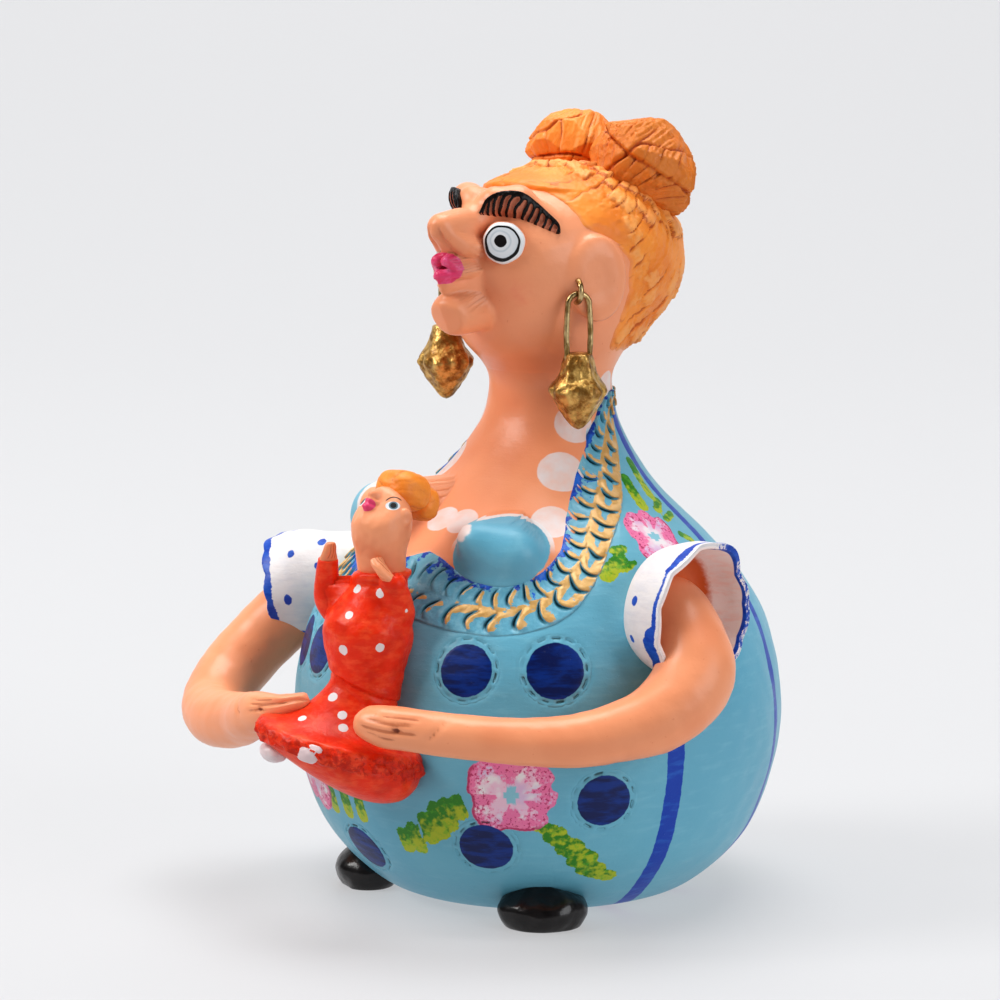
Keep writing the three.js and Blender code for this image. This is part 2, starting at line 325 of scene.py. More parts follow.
def closed_skin(name: str, rings: Array, tips: Sequence[Array], marks: dict[str, Array]) -> Piece:
    """Makes a closed mesh from rings of points and a tip at each end.

    Args:
        name: the piece's name.
        rings: rows by columns by 3, in millimetres.
        tips: the points that close the first and the last ring.
        marks: a number for each ring point, stored as attributes for the finish to read.

    Returns:
        The new object, its faces pointing outwards.
    """
    rows, columns, _ = rings.shape
    points = np.concatenate([rings.reshape(-1, 3), np.array(tips).reshape(2, 3)])
    index = np.arange(rows * columns).reshape(rows, columns)
    right = np.roll(index, -1, axis=1)
    quads = np.stack([index[:-1], right[:-1], right[1:], index[1:]], axis=-1).reshape(-1, 4)
    low = np.stack([np.full(columns, rows * columns), right[0], index[0]], axis=-1)
    high = np.stack([np.full(columns, rows * columns + 1), index[-1], right[-1]], axis=-1)
    fans = np.concatenate([low, high])
    corners = np.concatenate([quads[:, [0, 1, 2]], quads[:, [0, 2, 3]], fans])
    a, b, c = (points[corners[:, i]] for i in range(3))
    if np.einsum("ij,ij->i", a, np.cross(b, c)).sum() < 0:
        quads, fans = quads[:, ::-1], fans[:, ::-1]
    mesh = bpy.data.meshes.new(name)
    mesh.from_pydata((points * MM).tolist(), [], quads.tolist() + fans.tolist())
    for mark, values in marks.items():
        ends = [values[0].mean(), values[-1].mean()]
        mesh.attributes.new(mark, "FLOAT", "POINT").data.foreach_set(
            "value", np.concatenate([values.reshape(-1), ends]).astype(np.float32)
        )
    mesh.shade_smooth()
    piece = bpy.data.objects.new(name, mesh)
    bpy.context.collection.objects.link(piece)
    return piece


def hand_over(piece: Piece, finish: Material, slot: Slot, *nodes: str) -> None:
    """Gives a piece its finish and its body, and hides the CAD nodes it stands for."""
    piece.data.materials.append(finish)
    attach(piece, BODY)
    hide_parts(*nodes)
    log.info("%s: %d faces", piece.name, len(piece.data.polygons))


def mould(
    name: str, rings: Array, marks: dict[str, Array], finish: Material, tips: Sequence[Array] | None = None
) -> None:
    """Makes one painted piece of the figure's clay.

    Args:
        name: the piece's name.
        rings: rows by columns by 3, in millimetres.
        marks: a number for each ring point, for the finish to read.
        finish: its paint.
        tips: the points that close it, or the middles of the end rings where none are given.
    """
    ends = (rings[0].mean(axis=0), rings[-1].mean(axis=0)) if tips is None else tips
    hand_over(closed_skin(name, rings, ends, marks), finish, Slot.CLAY, CLAY_NODE)


# Shader maths


class Wire:
    """An output socket of a material, with operators that add Math nodes."""

    def __init__(self, paint: "Paint", socket: bpy.types.NodeSocket) -> None:
        """Keeps the socket and the material it belongs to."""
        self.paint = paint
        self.socket = socket

    def __add__(self, other: "Wire | float") -> "Wire":
        """Sum."""
        return self.paint.math("ADD", self, other)

    __radd__ = __add__

    def __sub__(self, other: "Wire | float") -> "Wire":
        """Difference."""
        return self.paint.math("SUBTRACT", self, other)

    def __rsub__(self, other: float) -> "Wire":
        """Difference from a number."""
        return self.paint.math("SUBTRACT", other, self)

    def __mul__(self, other: "Wire | float") -> "Wire":
        """Product."""
        return self.paint.math("MULTIPLY", self, other)

    __rmul__ = __mul__

    def __truediv__(self, other: "Wire | float") -> "Wire":
        """Quotient."""
        return self.paint.math("DIVIDE", self, other)

    def least(self, other: "Wire | float") -> "Wire":
        """The lesser value."""
        return self.paint.math("MINIMUM", self, other)

    def most(self, other: "Wire | float") -> "Wire":
        """The greater value."""
        return self.paint.math("MAXIMUM", self, other)

    def size(self) -> "Wire":
        """The value without its sign."""
        return self.paint.math("ABSOLUTE", self)

    def over(self, edge: float, ease: float) -> "Wire":
        """1 where the value is over the edge, 0 under it, eased over twice ease."""
        settings = {"interpolation_type": "SMOOTHSTEP", "clamp": True}
        values = (self, edge - ease, edge + ease, 0.0, 1.0)
        return self.paint.node("ShaderNodeMapRange", settings, values)

    def under(self, edge: float, ease: float) -> "Wire":
        """1 where the value is under the edge."""
        return 1 - self.over(edge, ease)


class Paint:
    """A material under construction, with coordinates in millimetres."""

    def __init__(self, name: str) -> None:
        """Starts an empty material with an output."""
        self.material = bpy.data.materials.new(name)
        self.material.use_nodes = True
        self.nodes = self.material.node_tree.nodes
        self.links = self.material.node_tree.links
        self.nodes.clear()
        self.place = self.vector("SCALE", self.node("ShaderNodeTexCoord", {}, (), 3), scale=1 / MM)

    def node(
        self, kind: str, settings: dict[str, Any], values: Sequence[Any] | dict[int, Any], out: int = 0
    ) -> Wire:
        """Adds a node.

        Args:
            kind: the node's type.
            settings: its own properties, set first.
            values: links or numbers for its inputs, in order or by number.
            out: which output to return.

        Returns:
            That output.
        """
        node = self.nodes.new(kind)
        for key, value in settings.items():
            setattr(node, key, value)
        pairs = values.items() if isinstance(values, dict) else enumerate(values)
        for number, value in pairs:
            if isinstance(value, Wire):
                self.links.new(value.socket, node.inputs[number])
            else:
                node.inputs[number].default_value = value
        return Wire(self, node.outputs[out])

    def math(self, operation: str, *values: "Wire | float") -> Wire:
        """A Math node."""
        return self.node("ShaderNodeMath", {"operation": operation}, values)

    def vector(self, operation: str, a: Any, b: Any = None, scale: float | None = None) -> Wire:
        """A Vector Math node, with its number output where the operation has one."""
        values: dict[int, Any] = {0: a}
        if b is not None:
            values[1] = b
        if scale is not None:
            values[3] = scale
        out = 1 if operation in ("DOT_PRODUCT", "DISTANCE", "LENGTH") else 0
        return self.node("ShaderNodeVectorMath", {"operation": operation}, values, out)

    def mark(self, name: str) -> Wire:
        """A number stored on the piece's own points."""
        return self.node("ShaderNodeAttribute", {"attribute_name": name}, (), 2)

    def folded(self, middle: float) -> tuple[Wire, Wire]:
        """The point with X as the distance from a middle plane, and its height."""
        x = self.node("ShaderNodeSeparateXYZ", {}, (self.place,))
        y, z = (Wire(self, output) for output in x.socket.node.outputs[1:])
        return self.node("ShaderNodeCombineXYZ", {}, ((x - middle).size(), y, z)), z

    def reach(self, point: Wire, centre: Place, radii: Place) -> Wire:
        """How far out a point is in an ellipsoid, from 0 in its middle to 1 on it."""
        local = self.vector("SUBTRACT", point, centre)
        scale = tuple(1 / radius for radius in radii)
        return self.vector("LENGTH", self.vector("MULTIPLY", local, scale))

    def noise(self, size: float, detail: float = 2.0, stretch: Place = (1, 1, 1), rough: float = 0.5) -> Wire:
        """Noise from 0 to 1 whose blots are about size millimetres across, drawn out by stretch."""
        spread = tuple(1 / (size * s) for s in stretch)
        local = self.vector("MULTIPLY", self.place, spread)
        settings = {"noise_dimensions": "3D"}
        return self.node("ShaderNodeTexNoise", settings, {0: local, 2: 1.0, 3: detail, 4: rough}, 0)

    def colour(self, mask: Wire | float, under: Any, over: Any) -> Wire:
        """The colour over laid on the colour under where mask is 1."""
        values = {0: mask, 6: solid(under), 7: solid(over)}
        return self.node("ShaderNodeMix", {"data_type": "RGBA"}, values, 2)

    def curve(self, value: Wire, stops: Sequence[tuple[float, float]]) -> Wire:
        """A smooth curve through stops that run from 0 to 1 both ways.

        Args:
            value: the input.
            stops: pairs of input and output.

        Returns:
            The output.
        """
        wire = self.node("ShaderNodeFloatCurve", {}, {1: value})
        mapping = wire.socket.node.mapping
        line = mapping.curves[0]
        line.points[0].location = stops[0]
        line.points[1].location = stops[-1]
        for stop in stops[1:-1]:
            line.points.new(*stop)
        mapping.update()
        return wire

    def finish(self, look: "Gloss", colour: Any, relief: Wire | None = None, **varying: Wire) -> Material:
        """Ends the material with one Principled shader.

        Args:
            look: the constants of the surface.
            colour: its base colour.
            relief: height for a bump, in millimetres.
            varying: further inputs that change over the surface, such as roughness.

        Returns:
            The material.
        """
        shader = self.nodes.new("ShaderNodeBsdfPrincipled")
        shader.inputs["Roughness"].default_value = look.roughness
        shader.inputs["Metallic"].default_value = look.metallic
        shader.inputs["Coat Weight"].default_value = look.coat
        shader.inputs["Coat Roughness"].default_value = look.coat_roughness
        shader.inputs["Specular IOR Level"].default_value = look.specular
        if isinstance(colour, Wire):
            self.links.new(colour.socket, shader.inputs["Base Color"])
        else:
            shader.inputs["Base Color"].default_value = solid(colour)
        for key, wire in varying.items():
            self.links.new(wire.socket, shader.inputs[key.replace("_", " ").title()])
        if relief is not None:
            bump = self.nodes.new("ShaderNodeBump")
            bump.inputs["Strength"].default_value = 1.0
            bump.inputs["Distance"].default_value = MM
            self.links.new(relief.socket, bump.inputs["Height"])
            self.links.new(bump.outputs[0], shader.inputs["Normal"])
        output = self.nodes.new("ShaderNodeOutputMaterial")
        self.links.new(shader.outputs[0], output.inputs[0])
        return self.material


def solid(colour: Any) -> Any:
    """A colour with its alpha, or the wire as it is."""
    return (*colour, 1.0) if isinstance(colour, tuple) and len(colour) == 3 else colour


@dataclass(frozen=True)
class Gloss:
    """How a finish shines."""

    roughness: float = 0.40
    coat: float = 0.04
    coat_roughness: float = 0.12
    metallic: float = 0.0
    specular: float = 0.38


@dataclass(frozen=True)
class Colours:
    """The maker's paints, and the colours that stand in for painted shade and painted highlight."""

    skin: Place = (0.88, 0.355, 0.185)
    skin_dark: Place = (0.70, 0.205, 0.085)
    blush: Place = (0.75, 0.13, 0.09)
    lips: Place = (0.76, 0.06, 0.17)
    dress: Place = (0.142, 0.41, 0.545)
    dress_pale: Place = (0.27, 0.56, 0.66)
    cobalt: Place = (0.002, 0.052, 0.40)
    navy: Place = (0.001, 0.010, 0.090)
    white: Place = (0.76, 0.73, 0.73)
    deep: Place = (0.62, 0.13, 0.03)
    hair: Place = (0.92, 0.31, 0.045)
    # fine lines and painted shade in the hair's cuts
    hair_lines_and_painted_shade: Place = (0.45, 0.070, 0.004)
    # painted highlight on the hair's raised carving
    hair_painted_highlight: Place = (0.97, 0.46, 0.15)
    black: Place = (0.006, 0.004, 0.004)
    red: Place = (0.80, 0.036, 0.006)
    red_pale: Place = (0.90, 0.11, 0.035)
    red_dark: Place = (0.46, 0.014, 0.004)
    pink: Place = (0.82, 0.16, 0.36)
    pink_pale: Place = (0.84, 0.56, 0.68)
    lilac: Place = (0.60, 0.42, 0.68)
    crimson: Place = (0.42, 0.01, 0.09)
    leaf: Place = (0.035, 0.23, 0.012)
    leaf_lit: Place = (0.42, 0.50, 0.02)
    gold: Place = (0.66, 0.39, 0.13)
    # painted shade beside the collar's cuts and in the drop's dents
    gold_painted_shade: Place = (0.20, 0.095, 0.02)
    eye: Place = (0.72, 0.74, 0.76)
    petal: Place = (0.84, 0.78, 0.80)
    leaf_bright: Place = (0.10, 0.42, 0.02)
    dress_cloud: Place = (0.185, 0.48, 0.59)
    cobalt_streak: Place = (0.015, 0.12, 0.50)
    navy_streak: Place = (0.001, 0.040, 0.27)
    # painted shade in the pressed dashes round the dots
    dash_painted_shade: Place = (0.025, 0.070, 0.070)
    cobalt_lit: Place = (0.006, 0.13, 0.58)
    gold_lit: Place = (0.80, 0.53, 0.25)
    # painted shade in the collar's cuts, lighter and deeper
    cut_painted_shade: Place = (0.07, 0.27, 0.35)
    cut_painted_shade_deep: Place = (0.006, 0.055, 0.085)
    lips_pale: Place = (0.82, 0.14, 0.30)
    eye_ring: Place = (0.42, 0.50, 0.55)
    eye_shade: Place = (0.52, 0.60, 0.66)
    eye_rim: Place = (0.80, 0.81, 0.82)
    # skin darkened as painted shade in the brow slits
    brow_slit_painted_shade: Place = (0.55, 0.19, 0.11)
    hair_deep: Place = (0.80, 0.20, 0.015)
    # painted shade for the bun that sits in shade
    bun_painted_shade: Place = (0.52, 0.125, 0.006)
    hair_shade: Place = (0.62, 0.13, 0.010)
    bare_clay: Place = (0.86, 0.42, 0.26)
    hair_thin: Place = (0.88, 0.40, 0.24)
    # painted shade in the arm's scored lines, deeper in the hand's hole
    skin_cut_painted_shade: Place = (0.46, 0.13, 0.05)
    skin_hole_painted_shade: Place = (0.20, 0.04, 0.02)
    white_shade: Place = (0.60, 0.60, 0.66)
    cobalt_rim: Place = (0.02, 0.12, 0.55)
    lining: Place = (0.92, 0.80, 0.76)
    lining_dark: Place = (0.92, 0.62, 0.54)
    black_worn: Place = (0.02, 0.017, 0.017)
    girl_shoe: Place = (0.72, 0.56, 0.57)
    iris: Place = (0.12, 0.20, 0.24)
    gilt_worn: Place = (0.27, 0.125, 0.022)
    gilt: Place = (0.74, 0.47, 0.15)
    brass: Place = (0.60, 0.46, 0.24)
    tarnish: Place = (0.24, 0.15, 0.05)


TINT = Colours()


# The woman's clay


@dataclass
class Motif:
    """A painted figure on the dress, by its angle from the front and its height."""

    angle: float
    height: float
    size: float = 7.7
    turn: float = 0.0


@dataclass
class Stroke:
    """A dab of the brush on the dress, by the angle and height of its ends and its half width."""

    angle: float
    height: float
    last_angle: float
    last_height: float
    half: float


@dataclass
class Torso:
    """The pot-shaped body and neck, turned about Z, with the two breasts."""

    radius: float = 68.9
    clear: float = 95.0
    fillet: float = 6.0
    apex: float = 4.0
    set_back: float = 5.4
    set_back_from: float = 95.0
    set_back_to: float = 140.0
    rows: int = 180
    columns: int = 330
    shares: tuple[tuple[float, float], ...] = (
        (0.45, 0), (0.645, 3.5), (0.83, 15), (0.945, 30), (1, 50), (0.962, 70), (0.872, 85),
        (0.695, 100), (0.46, 115), (0.297, 130), (0.251, 142), (0.27, 153),
    )
    breasts: tuple[tuple[Place, Place], ...] = (
        ((20.2, -40.2, 101.4), (12.4, 9.6, 9.8)),
        ((-22.2, -40.0, 107.5), (9.8, 9.6, 10.4)),
    )
    table: Array = field(init=False)

    def __post_init__(self) -> None:
        """Works out the outline and the length along it."""
        line = through([(share * self.radius, z) for share, z in self.shares], 900)
        self.table = np.column_stack([line, length_along(line)])

    def drift(self, z: Array) -> Array:
        """How far the axis has moved back at a height."""
        return self.set_back * smooth(z, self.set_back_from, self.set_back_to)

    def wide(self, z: Array) -> Array:
        """The radius at a height."""
        return np.interp(z, self.table[:, 1], self.table[:, 0])

    def climb(self, z: Array) -> Array:
        """The length along the outline up to a height."""
        return np.interp(z, self.table[:, 1], self.table[:, 2])

    def height(self, climb: Array) -> Array:
        """The height at a length along the outline."""
        return np.interp(climb, self.table[:, 2], self.table[:, 1])

    def shape(self, points: Array) -> Array:
        """Distance to the turned outline, eased into the breasts."""
        z = points[..., 2]
        across = np.hypot(points[..., 0], points[..., 1] - self.drift(z)) - self.wide(z)
        near = across
        for centre, radii in self.breasts:
            near = soft_union(near, pebble(points, centre, radii), self.fillet)
            apex = np.array(centre) + np.array([-0.18 * centre[0], -7.4, 4.8])
            near = soft_union(near, np.linalg.norm(points - apex, axis=-1) - self.apex, self.fillet)
        return near

    def spot(self, angle: Array | float, z: Array | float) -> Array:
        """The point of the plain turned outline at an angle in degrees and a height."""
        turn = np.radians(angle)
        z = np.asarray(z, dtype=float) + 0 * turn
        wide = self.wide(z)
        return np.stack([wide * np.sin(turn), self.drift(z) - wide * np.cos(turn), z], axis=-1)

    def facing(self, angle: float, z: float) -> Array:
        """The outward direction of the turned outline."""
        low, high = self.height(self.climb(z) - 1), self.height(self.climb(z) + 1)
        slope = (self.wide(high) - self.wide(low)) / (high - low)
        turn = math.radians(angle)
        return unit(np.array([math.sin(turn), -math.cos(turn), -slope]))

    def draw_level(self, spots: Array, shape: Shape, steps: int) -> tuple[Array, Array]:
        """Moves points level, towards or away from the body's axis, until they lie on a shape.

        Args:
            spots: the points.
            shape: signed distance, negative inside.
            steps: how many times they close in.

        Returns:
            The moved points, and the level directions they moved along.
        """
        z = spots[..., 2]
        axis = np.stack([np.zeros_like(z), self.drift(z), z], axis=-1)
        heading = unit(spots - axis)
        return settle(axis, heading, shape, self.clear, steps), heading


@dataclass
class Collar:
    """The broad collar of pressed and gilded scales that runs round the neckline.

    Its stations are the angle from the front, the height of its middle line and its half width.
    """

    torso: Torso
    stations: tuple[tuple[float, float, float], ...] = (
        (0, 93.2, 11.2), (7, 92.0, 9.9), (14, 90.2, 8.7), (21, 88.9, 8.2), (29, 88.4, 8.0), (36, 89.4, 8.0),
        (42, 91.7, 8.1), (47, 95.0, 7.6), (51, 98.3, 7.0), (54.5, 101.7, 6.8), (57.5, 105.6, 7.2),
        (61.5, 110.0, 8.0), (68, 115.6, 8.3), (73, 120.3, 7.6), (79, 124.4, 6.6), (86, 128.1, 5.7),
        (93, 131.9, 4.5), (102, 135.8, 3.2), (112, 138.0, 2.5), (130, 139.2, 2.1), (155, 139.9, 2.0),
        (180, 140.2, 1.7),
    )
    pitch: float = 5.2
    rows: int = 760
    columns: int = 44
    thick: float = 1.3

    def line(self, count: int) -> Array:
        """Angle, height, half width and place along the whole loop, an equal length apart."""
        half = through(self.stations, 400)
        whole = np.concatenate([half[::-1] * np.array([-1, 1, 1]), half[1:]])
        whole = whole[np.abs(whole[:, 0]) < 178]
        length = length_along(self.torso.spot(whole[:, 0], whole[:, 1]))
        wanted = np.linspace(0, length[-1], count)
        columns = [np.interp(wanted, length, whole[:, i]) for i in range(3)]
        return np.column_stack([*columns, wanted - length[-1] / 2])

    def off_line(self, points: Array) -> Array:
        """How far a point of the body is from the collar's middle line, over its half width.

        Args:
            points: places, in millimetres.

        Returns:
            The signed share.
        """
        z = points[..., 2]
        angle = np.degrees(np.arctan2(points[..., 0], self.torso.drift(z) - points[..., 1]))
        table = through(self.stations, 200)
        middle = np.interp(np.abs(angle), table[:, 0], table[:, 1])
        half = np.interp(np.abs(angle), table[:, 0], table[:, 2])
        slope = np.gradient(table[:, 1], table[:, 0])
        wide = self.torso.wide(middle)
        rise = np.interp(np.abs(angle), table[:, 0], slope) / np.radians(wide)
        lean = 1 / np.sqrt(1 + rise**2)
        return (self.torso.climb(z) - self.torso.climb(middle)) * lean / half

    def relief(self, s: Array, t: Array, half: Array) -> tuple[Array, Array]:
        """Height of the scales, and how deep in a pressed groove a point is, from 0 to 1.

        Two rows of thumbnail scales. Each swells towards the front and ends in a curved cut.

        Args:
            s: length along the collar.
            t: distance up from its middle line.
            half: its half width there.

        Returns:
            Both, at each place.
        """
        height = np.zeros_like(s)
        groove = np.zeros_like(s)
        side = np.sign(s)
        reach = np.minimum(0.44 * half, 3.7)
        for row, (middle, shift) in enumerate(((0.46, 0.0), (-0.44, 0.55))):
            place = middle * half + 0.5 * wobble(np.stack([s, t], -1), 23, 15 + row)
            near = (t - place) / reach
            stretch = 1.0 if row == 0 else 0.9
            run = -side * s * stretch / self.pitch + shift + 0.30 * near**2 + 0.16 * near
            run = run + 0.10 * wobble(np.stack([s, t], -1), 12, 5 + row)
            cell = np.floor(run)
            part = run - cell
            size = 0.78 + 0.30 * scatter(cell, row + 1.5)
            inside = np.clip(1.12 - (near / size) ** 2, 0, 1) ** 0.8
            depth = 0.8 + 0.5 * scatter(cell, row + 3.5)
            rise = smooth(part, 0.22, 0.70) * 0.85
            cut = bell(part - 0.87, 0.085) + bell(part + 0.13, 0.085)
            height = height + inside * (rise * (1 - smooth(part, 0.76, 0.90)) - 1.30 * depth * cut)
            groove = np.maximum(groove, inside * cut)
        return height, groove

    def build(self, skin: Shape, finish: Material) -> None:
        """A band whose upper side carries the scales and whose underside lies in the body.

        Args:
            skin: the shape it lies on.
            finish: its paint.
        """
        path = self.line(self.rows)
        angle, z, half, s = path.T
        share = np.linspace(-1, 1, self.columns)
        arc = np.radians(np.gradient(angle)) * self.torso.wide(z)
        climb = np.gradient(self.torso.climb(z))
        length = np.hypot(arc, climb)
        t = share[None, :] * half[:, None]
        turned = angle[:, None] + np.degrees(-t * (climb / length)[:, None] / self.torso.wide(z)[:, None])
        raised = self.torso.height(self.torso.climb(z)[:, None] + t * (arc / length)[:, None])
        on_body, heading = self.torso.draw_level(self.torso.spot(turned, raised), skin, 34)
        lift, groove = self.relief(*np.broadcast_arrays(s[:, None], t, half[:, None]))
        brim = 1 - smooth(np.abs(share), 0.90, 1.0)[None, :]
        top = on_body + heading * ((0.22 + lift) * brim - 0.45 * (1 - brim))[..., None]
        under = on_body[:, ::-1][:, 1:-1:6] - heading[:, ::-1][:, 1:-1:6] * self.thick * 1.6
        rings = np.concatenate([top, under], axis=1)
        spare = np.zeros(under.shape[:2])
        fields = {"groove": groove * brim, "lift": lift * brim, "inner": share, "along": np.abs(s)[:, None]}
        marks = {
            name: np.concatenate([np.broadcast_to(values, t.shape), spare], axis=1)
            for name, values in fields.items()
        }
        mould("collar_scales", rings, marks, finish)


@dataclass
class DressPattern:
    """Where each paint of the dress lies, as fields that the clay carries and the finish reads."""

    torso: Torso
    collar: Collar
    dots: tuple[Motif, ...] = (
        Motif(22.3, 73.1, 7.2), Motif(43.5, 73.5, 7.7), Motif(-27.3, 72.3, 7.2), Motif(-42.0, 71.6, 7.4),
        Motif(26.6, 24.1, 7.5), Motif(54.7, 38.0, 7.3), Motif(-13.8, 17.9, 7.3), Motif(-55.5, 37.0, 7.3),
        Motif(146, 62, 7.4), Motif(-146, 62, 7.4), Motif(164, 26, 7.4), Motif(-140, 30, 7.4),
    )
    flowers: tuple[Motif, ...] = (
        Motif(33.4, 40.0, 12.2), Motif(-30.5, 37.5, 12.0, 160), Motif(86.2, 104.2, 9.6, 80),
        Motif(-85.4, 105.0, 8.7, 20), Motif(180, 55, 12, 40), Motif(-93, 48, 10, 100),
    )
    near_leaves: tuple[Stroke, ...] = (
        Stroke(4.0, 26.2, 4.5, 21.6, 2.0), Stroke(7.3, 28.0, 8.4, 22.3, 2.3),
        Stroke(11.3, 31.6, 12.4, 25.8, 2.3), Stroke(14.6, 34.8, 15.8, 27.8, 2.5),
        Stroke(17.6, 36.6, 18.6, 30.6, 2.2), Stroke(20.4, 38.2, 21.7, 33.8, 1.8),
        Stroke(39.4, 31.4, 44.8, 28.8, 2.1), Stroke(42.4, 28.0, 48.9, 24.8, 2.4),
        Stroke(45.6, 24.2, 52.6, 21.2, 2.5), Stroke(48.6, 20.2, 55.5, 17.4, 2.3),
        Stroke(51.2, 17.4, 59.2, 14.6, 2.3), Stroke(-20.5, 33.6, -21.1, 28.8, 2.3),
        Stroke(-14.4, 34.1, -14.3, 29.0, 2.4), Stroke(-8.4, 33.9, -8.5, 28.8, 2.3),
        Stroke(-60, 92, -66, 99, 2.2), Stroke(-50, 24, -44, 20, 2.2), Stroke(-47, 28, -40, 24, 2.2),
        Stroke(160, 44, 164, 38, 2.1), Stroke(155, 48, 158, 41, 2.1), Stroke(-160, 44, -164, 38, 2.1),
        Stroke(-155, 48, -158, 41, 2.1), Stroke(166, 74, 171, 68, 2.0), Stroke(-166, 74, -171, 68, 2.0),
    )
    shoulder_leaves: tuple[Stroke, ...] = (
        Stroke(105.4, 122, 103.7, 113.4, 1.9), Stroke(90.5, 118.3, 91.7, 111.4, 2.0),
        Stroke(106.5, 111.6, 100, 109.8, 1.5), Stroke(108, 108.2, 101, 107.4, 1.3),
        Stroke(101.9, 103.4, 106.1, 101.5, 1.4), Stroke(65.5, 102.2, 69.5, 102.3, 1.5),
        Stroke(67, 100, 60.8, 96.6, 2.5), Stroke(71.5, 98.9, 67.2, 97.5, 1.1),
    )
    stripes: tuple[tuple[float, float, float], ...] = ((72.3, 2.7, 61), (114.0, 1.9, 200))
    lace: tuple[tuple[float, float, float], ...] = (
        (60.0, 133.3, 5.6), (48.4, 121.2, 6.6), (43.7, 109.3, 5.8), (5.4, 108.6, 4.7), (31.0, 103.0, 4.5),
        (78.3, 140.9, 4.4), (104, 143.2, 3.8), (135, 143.6, 4.6), (168, 144.0, 4.8),
    )
    far: float = 99.0

    def frame(self, motif: Motif) -> tuple[Array, Array, Array]:
        """The middle of a motif and its two directions along the surface."""
        middle = self.torso.spot(motif.angle, motif.height)
        right, rise = upright(self.torso.facing(motif.angle, motif.height))
        cos, sin = math.cos(math.radians(motif.turn)), math.sin(math.radians(motif.turn))
        return middle, right * cos + rise * sin, rise * cos - right * sin

    def petals(self, points: Array) -> tuple[Array, Array, Array]:
        """Place across and up in the nearest flower, and how near that is, in flower sizes.

        Args:
            points: places, in millimetres.

        Returns:
            The three fields.
        """
        across, up = np.zeros(points.shape[:-1]), np.zeros(points.shape[:-1])
        near = np.full(points.shape[:-1], self.far)
        for flower in self.flowers:
            middle, right, rise = self.frame(flower)
            local = (points - middle) / flower.size
            gap = np.linalg.norm(local, axis=-1)
            closer = gap < near
            across = np.where(closer, local @ right, across)
            up = np.where(closer, local @ rise, up)
            near = np.minimum(near, gap)
        return across, up, near

    def leaves(self, points: Array) -> tuple[Array, Array]:
        """Distance to the nearest brush stroke, and how far down it a point is.

        Args:
            points: places, in millimetres.

        Returns:
            Both fields.
        """
        gap = np.full(points.shape[:-1], self.far)
        down = np.zeros(points.shape[:-1])
        mirrored = [
            Stroke(-leaf.angle, leaf.height, -leaf.last_angle, leaf.last_height, leaf.half)
            for leaf in self.shoulder_leaves
        ]
        for stroke in (*self.near_leaves, *self.shoulder_leaves, *mirrored):
            start = self.torso.spot(stroke.angle, stroke.height)
            end = self.torso.spot(stroke.last_angle, stroke.last_height)
            near = roll(points, start, end, stroke.half * 0.9, stroke.half)
            tall = stroke.half + abs(stroke.height - stroke.last_height) / 2
            fall = 0.5 + ((stroke.height + stroke.last_height) / 2 - points[..., 2]) / (2 * tall)
            down = np.where(near < gap, fall, down)
            gap = np.minimum(gap, near)
        return gap, down

    def marks(self, points: Array) -> dict[str, Array]:
        """All the fields.

        Args:
            points: places on the clay.

        Returns:
            Signed millimetres, negative inside, for the neckline, stripes, lace, bodice and leaves;
            shares of their size for the dots and flowers.
        """
        x, z = points[..., 0], points[..., 2]
        forward = self.torso.drift(z) - points[..., 1]
        angle = np.abs(np.degrees(np.arctan2(x, forward)))
        out = np.hypot(x, forward)
        table = through(self.collar.stations, 200)
        half = np.interp(angle, table[:, 0], table[:, 2])
        above = self.collar.off_line(points) * half
        stripe = np.full(x.shape, self.far)
        for place, wide, top in self.stripes:
            band = np.maximum(np.abs(angle - place) * np.radians(out) - wide, z - top)
            stripe = np.minimum(stripe, band)
        dot = np.full(x.shape, self.far)
        for motif in self.dots:
            middle = self.torso.spot(motif.angle, motif.height)
            dot = np.minimum(dot, np.linalg.norm(points - middle, axis=-1) / motif.size)
        side = folded(points)
        lace = np.full(x.shape, self.far)
        for turn, height, size in self.lace:
            gap = np.linalg.norm(side - self.torso.spot(turn, height), axis=-1)
            lace = np.minimum(lace, gap - size)
        bodice, low = np.full(x.shape, self.far), np.zeros(x.shape)
        for centre, radii in self.torso.breasts:
            gap = np.linalg.norm((points - np.array(centre)) * np.array([1, 1, 1.05]), axis=-1)
            gap = gap - radii[0] - 1.0
            low = np.where(gap < bodice, centre[2] - z, low)
            bodice = np.minimum(bodice, gap)
        across, up, near = self.petals(points)
        gap, down = self.leaves(points)
        return {
            "neck": above - half, "stripe": np.maximum(stripe, above + 1.0), "dot": dot, "lace": lace,
            "bodice": bodice, "low": low, "petal_u": across, "petal_v": up, "petal": near,
            "leaf": gap, "down": down,
        }


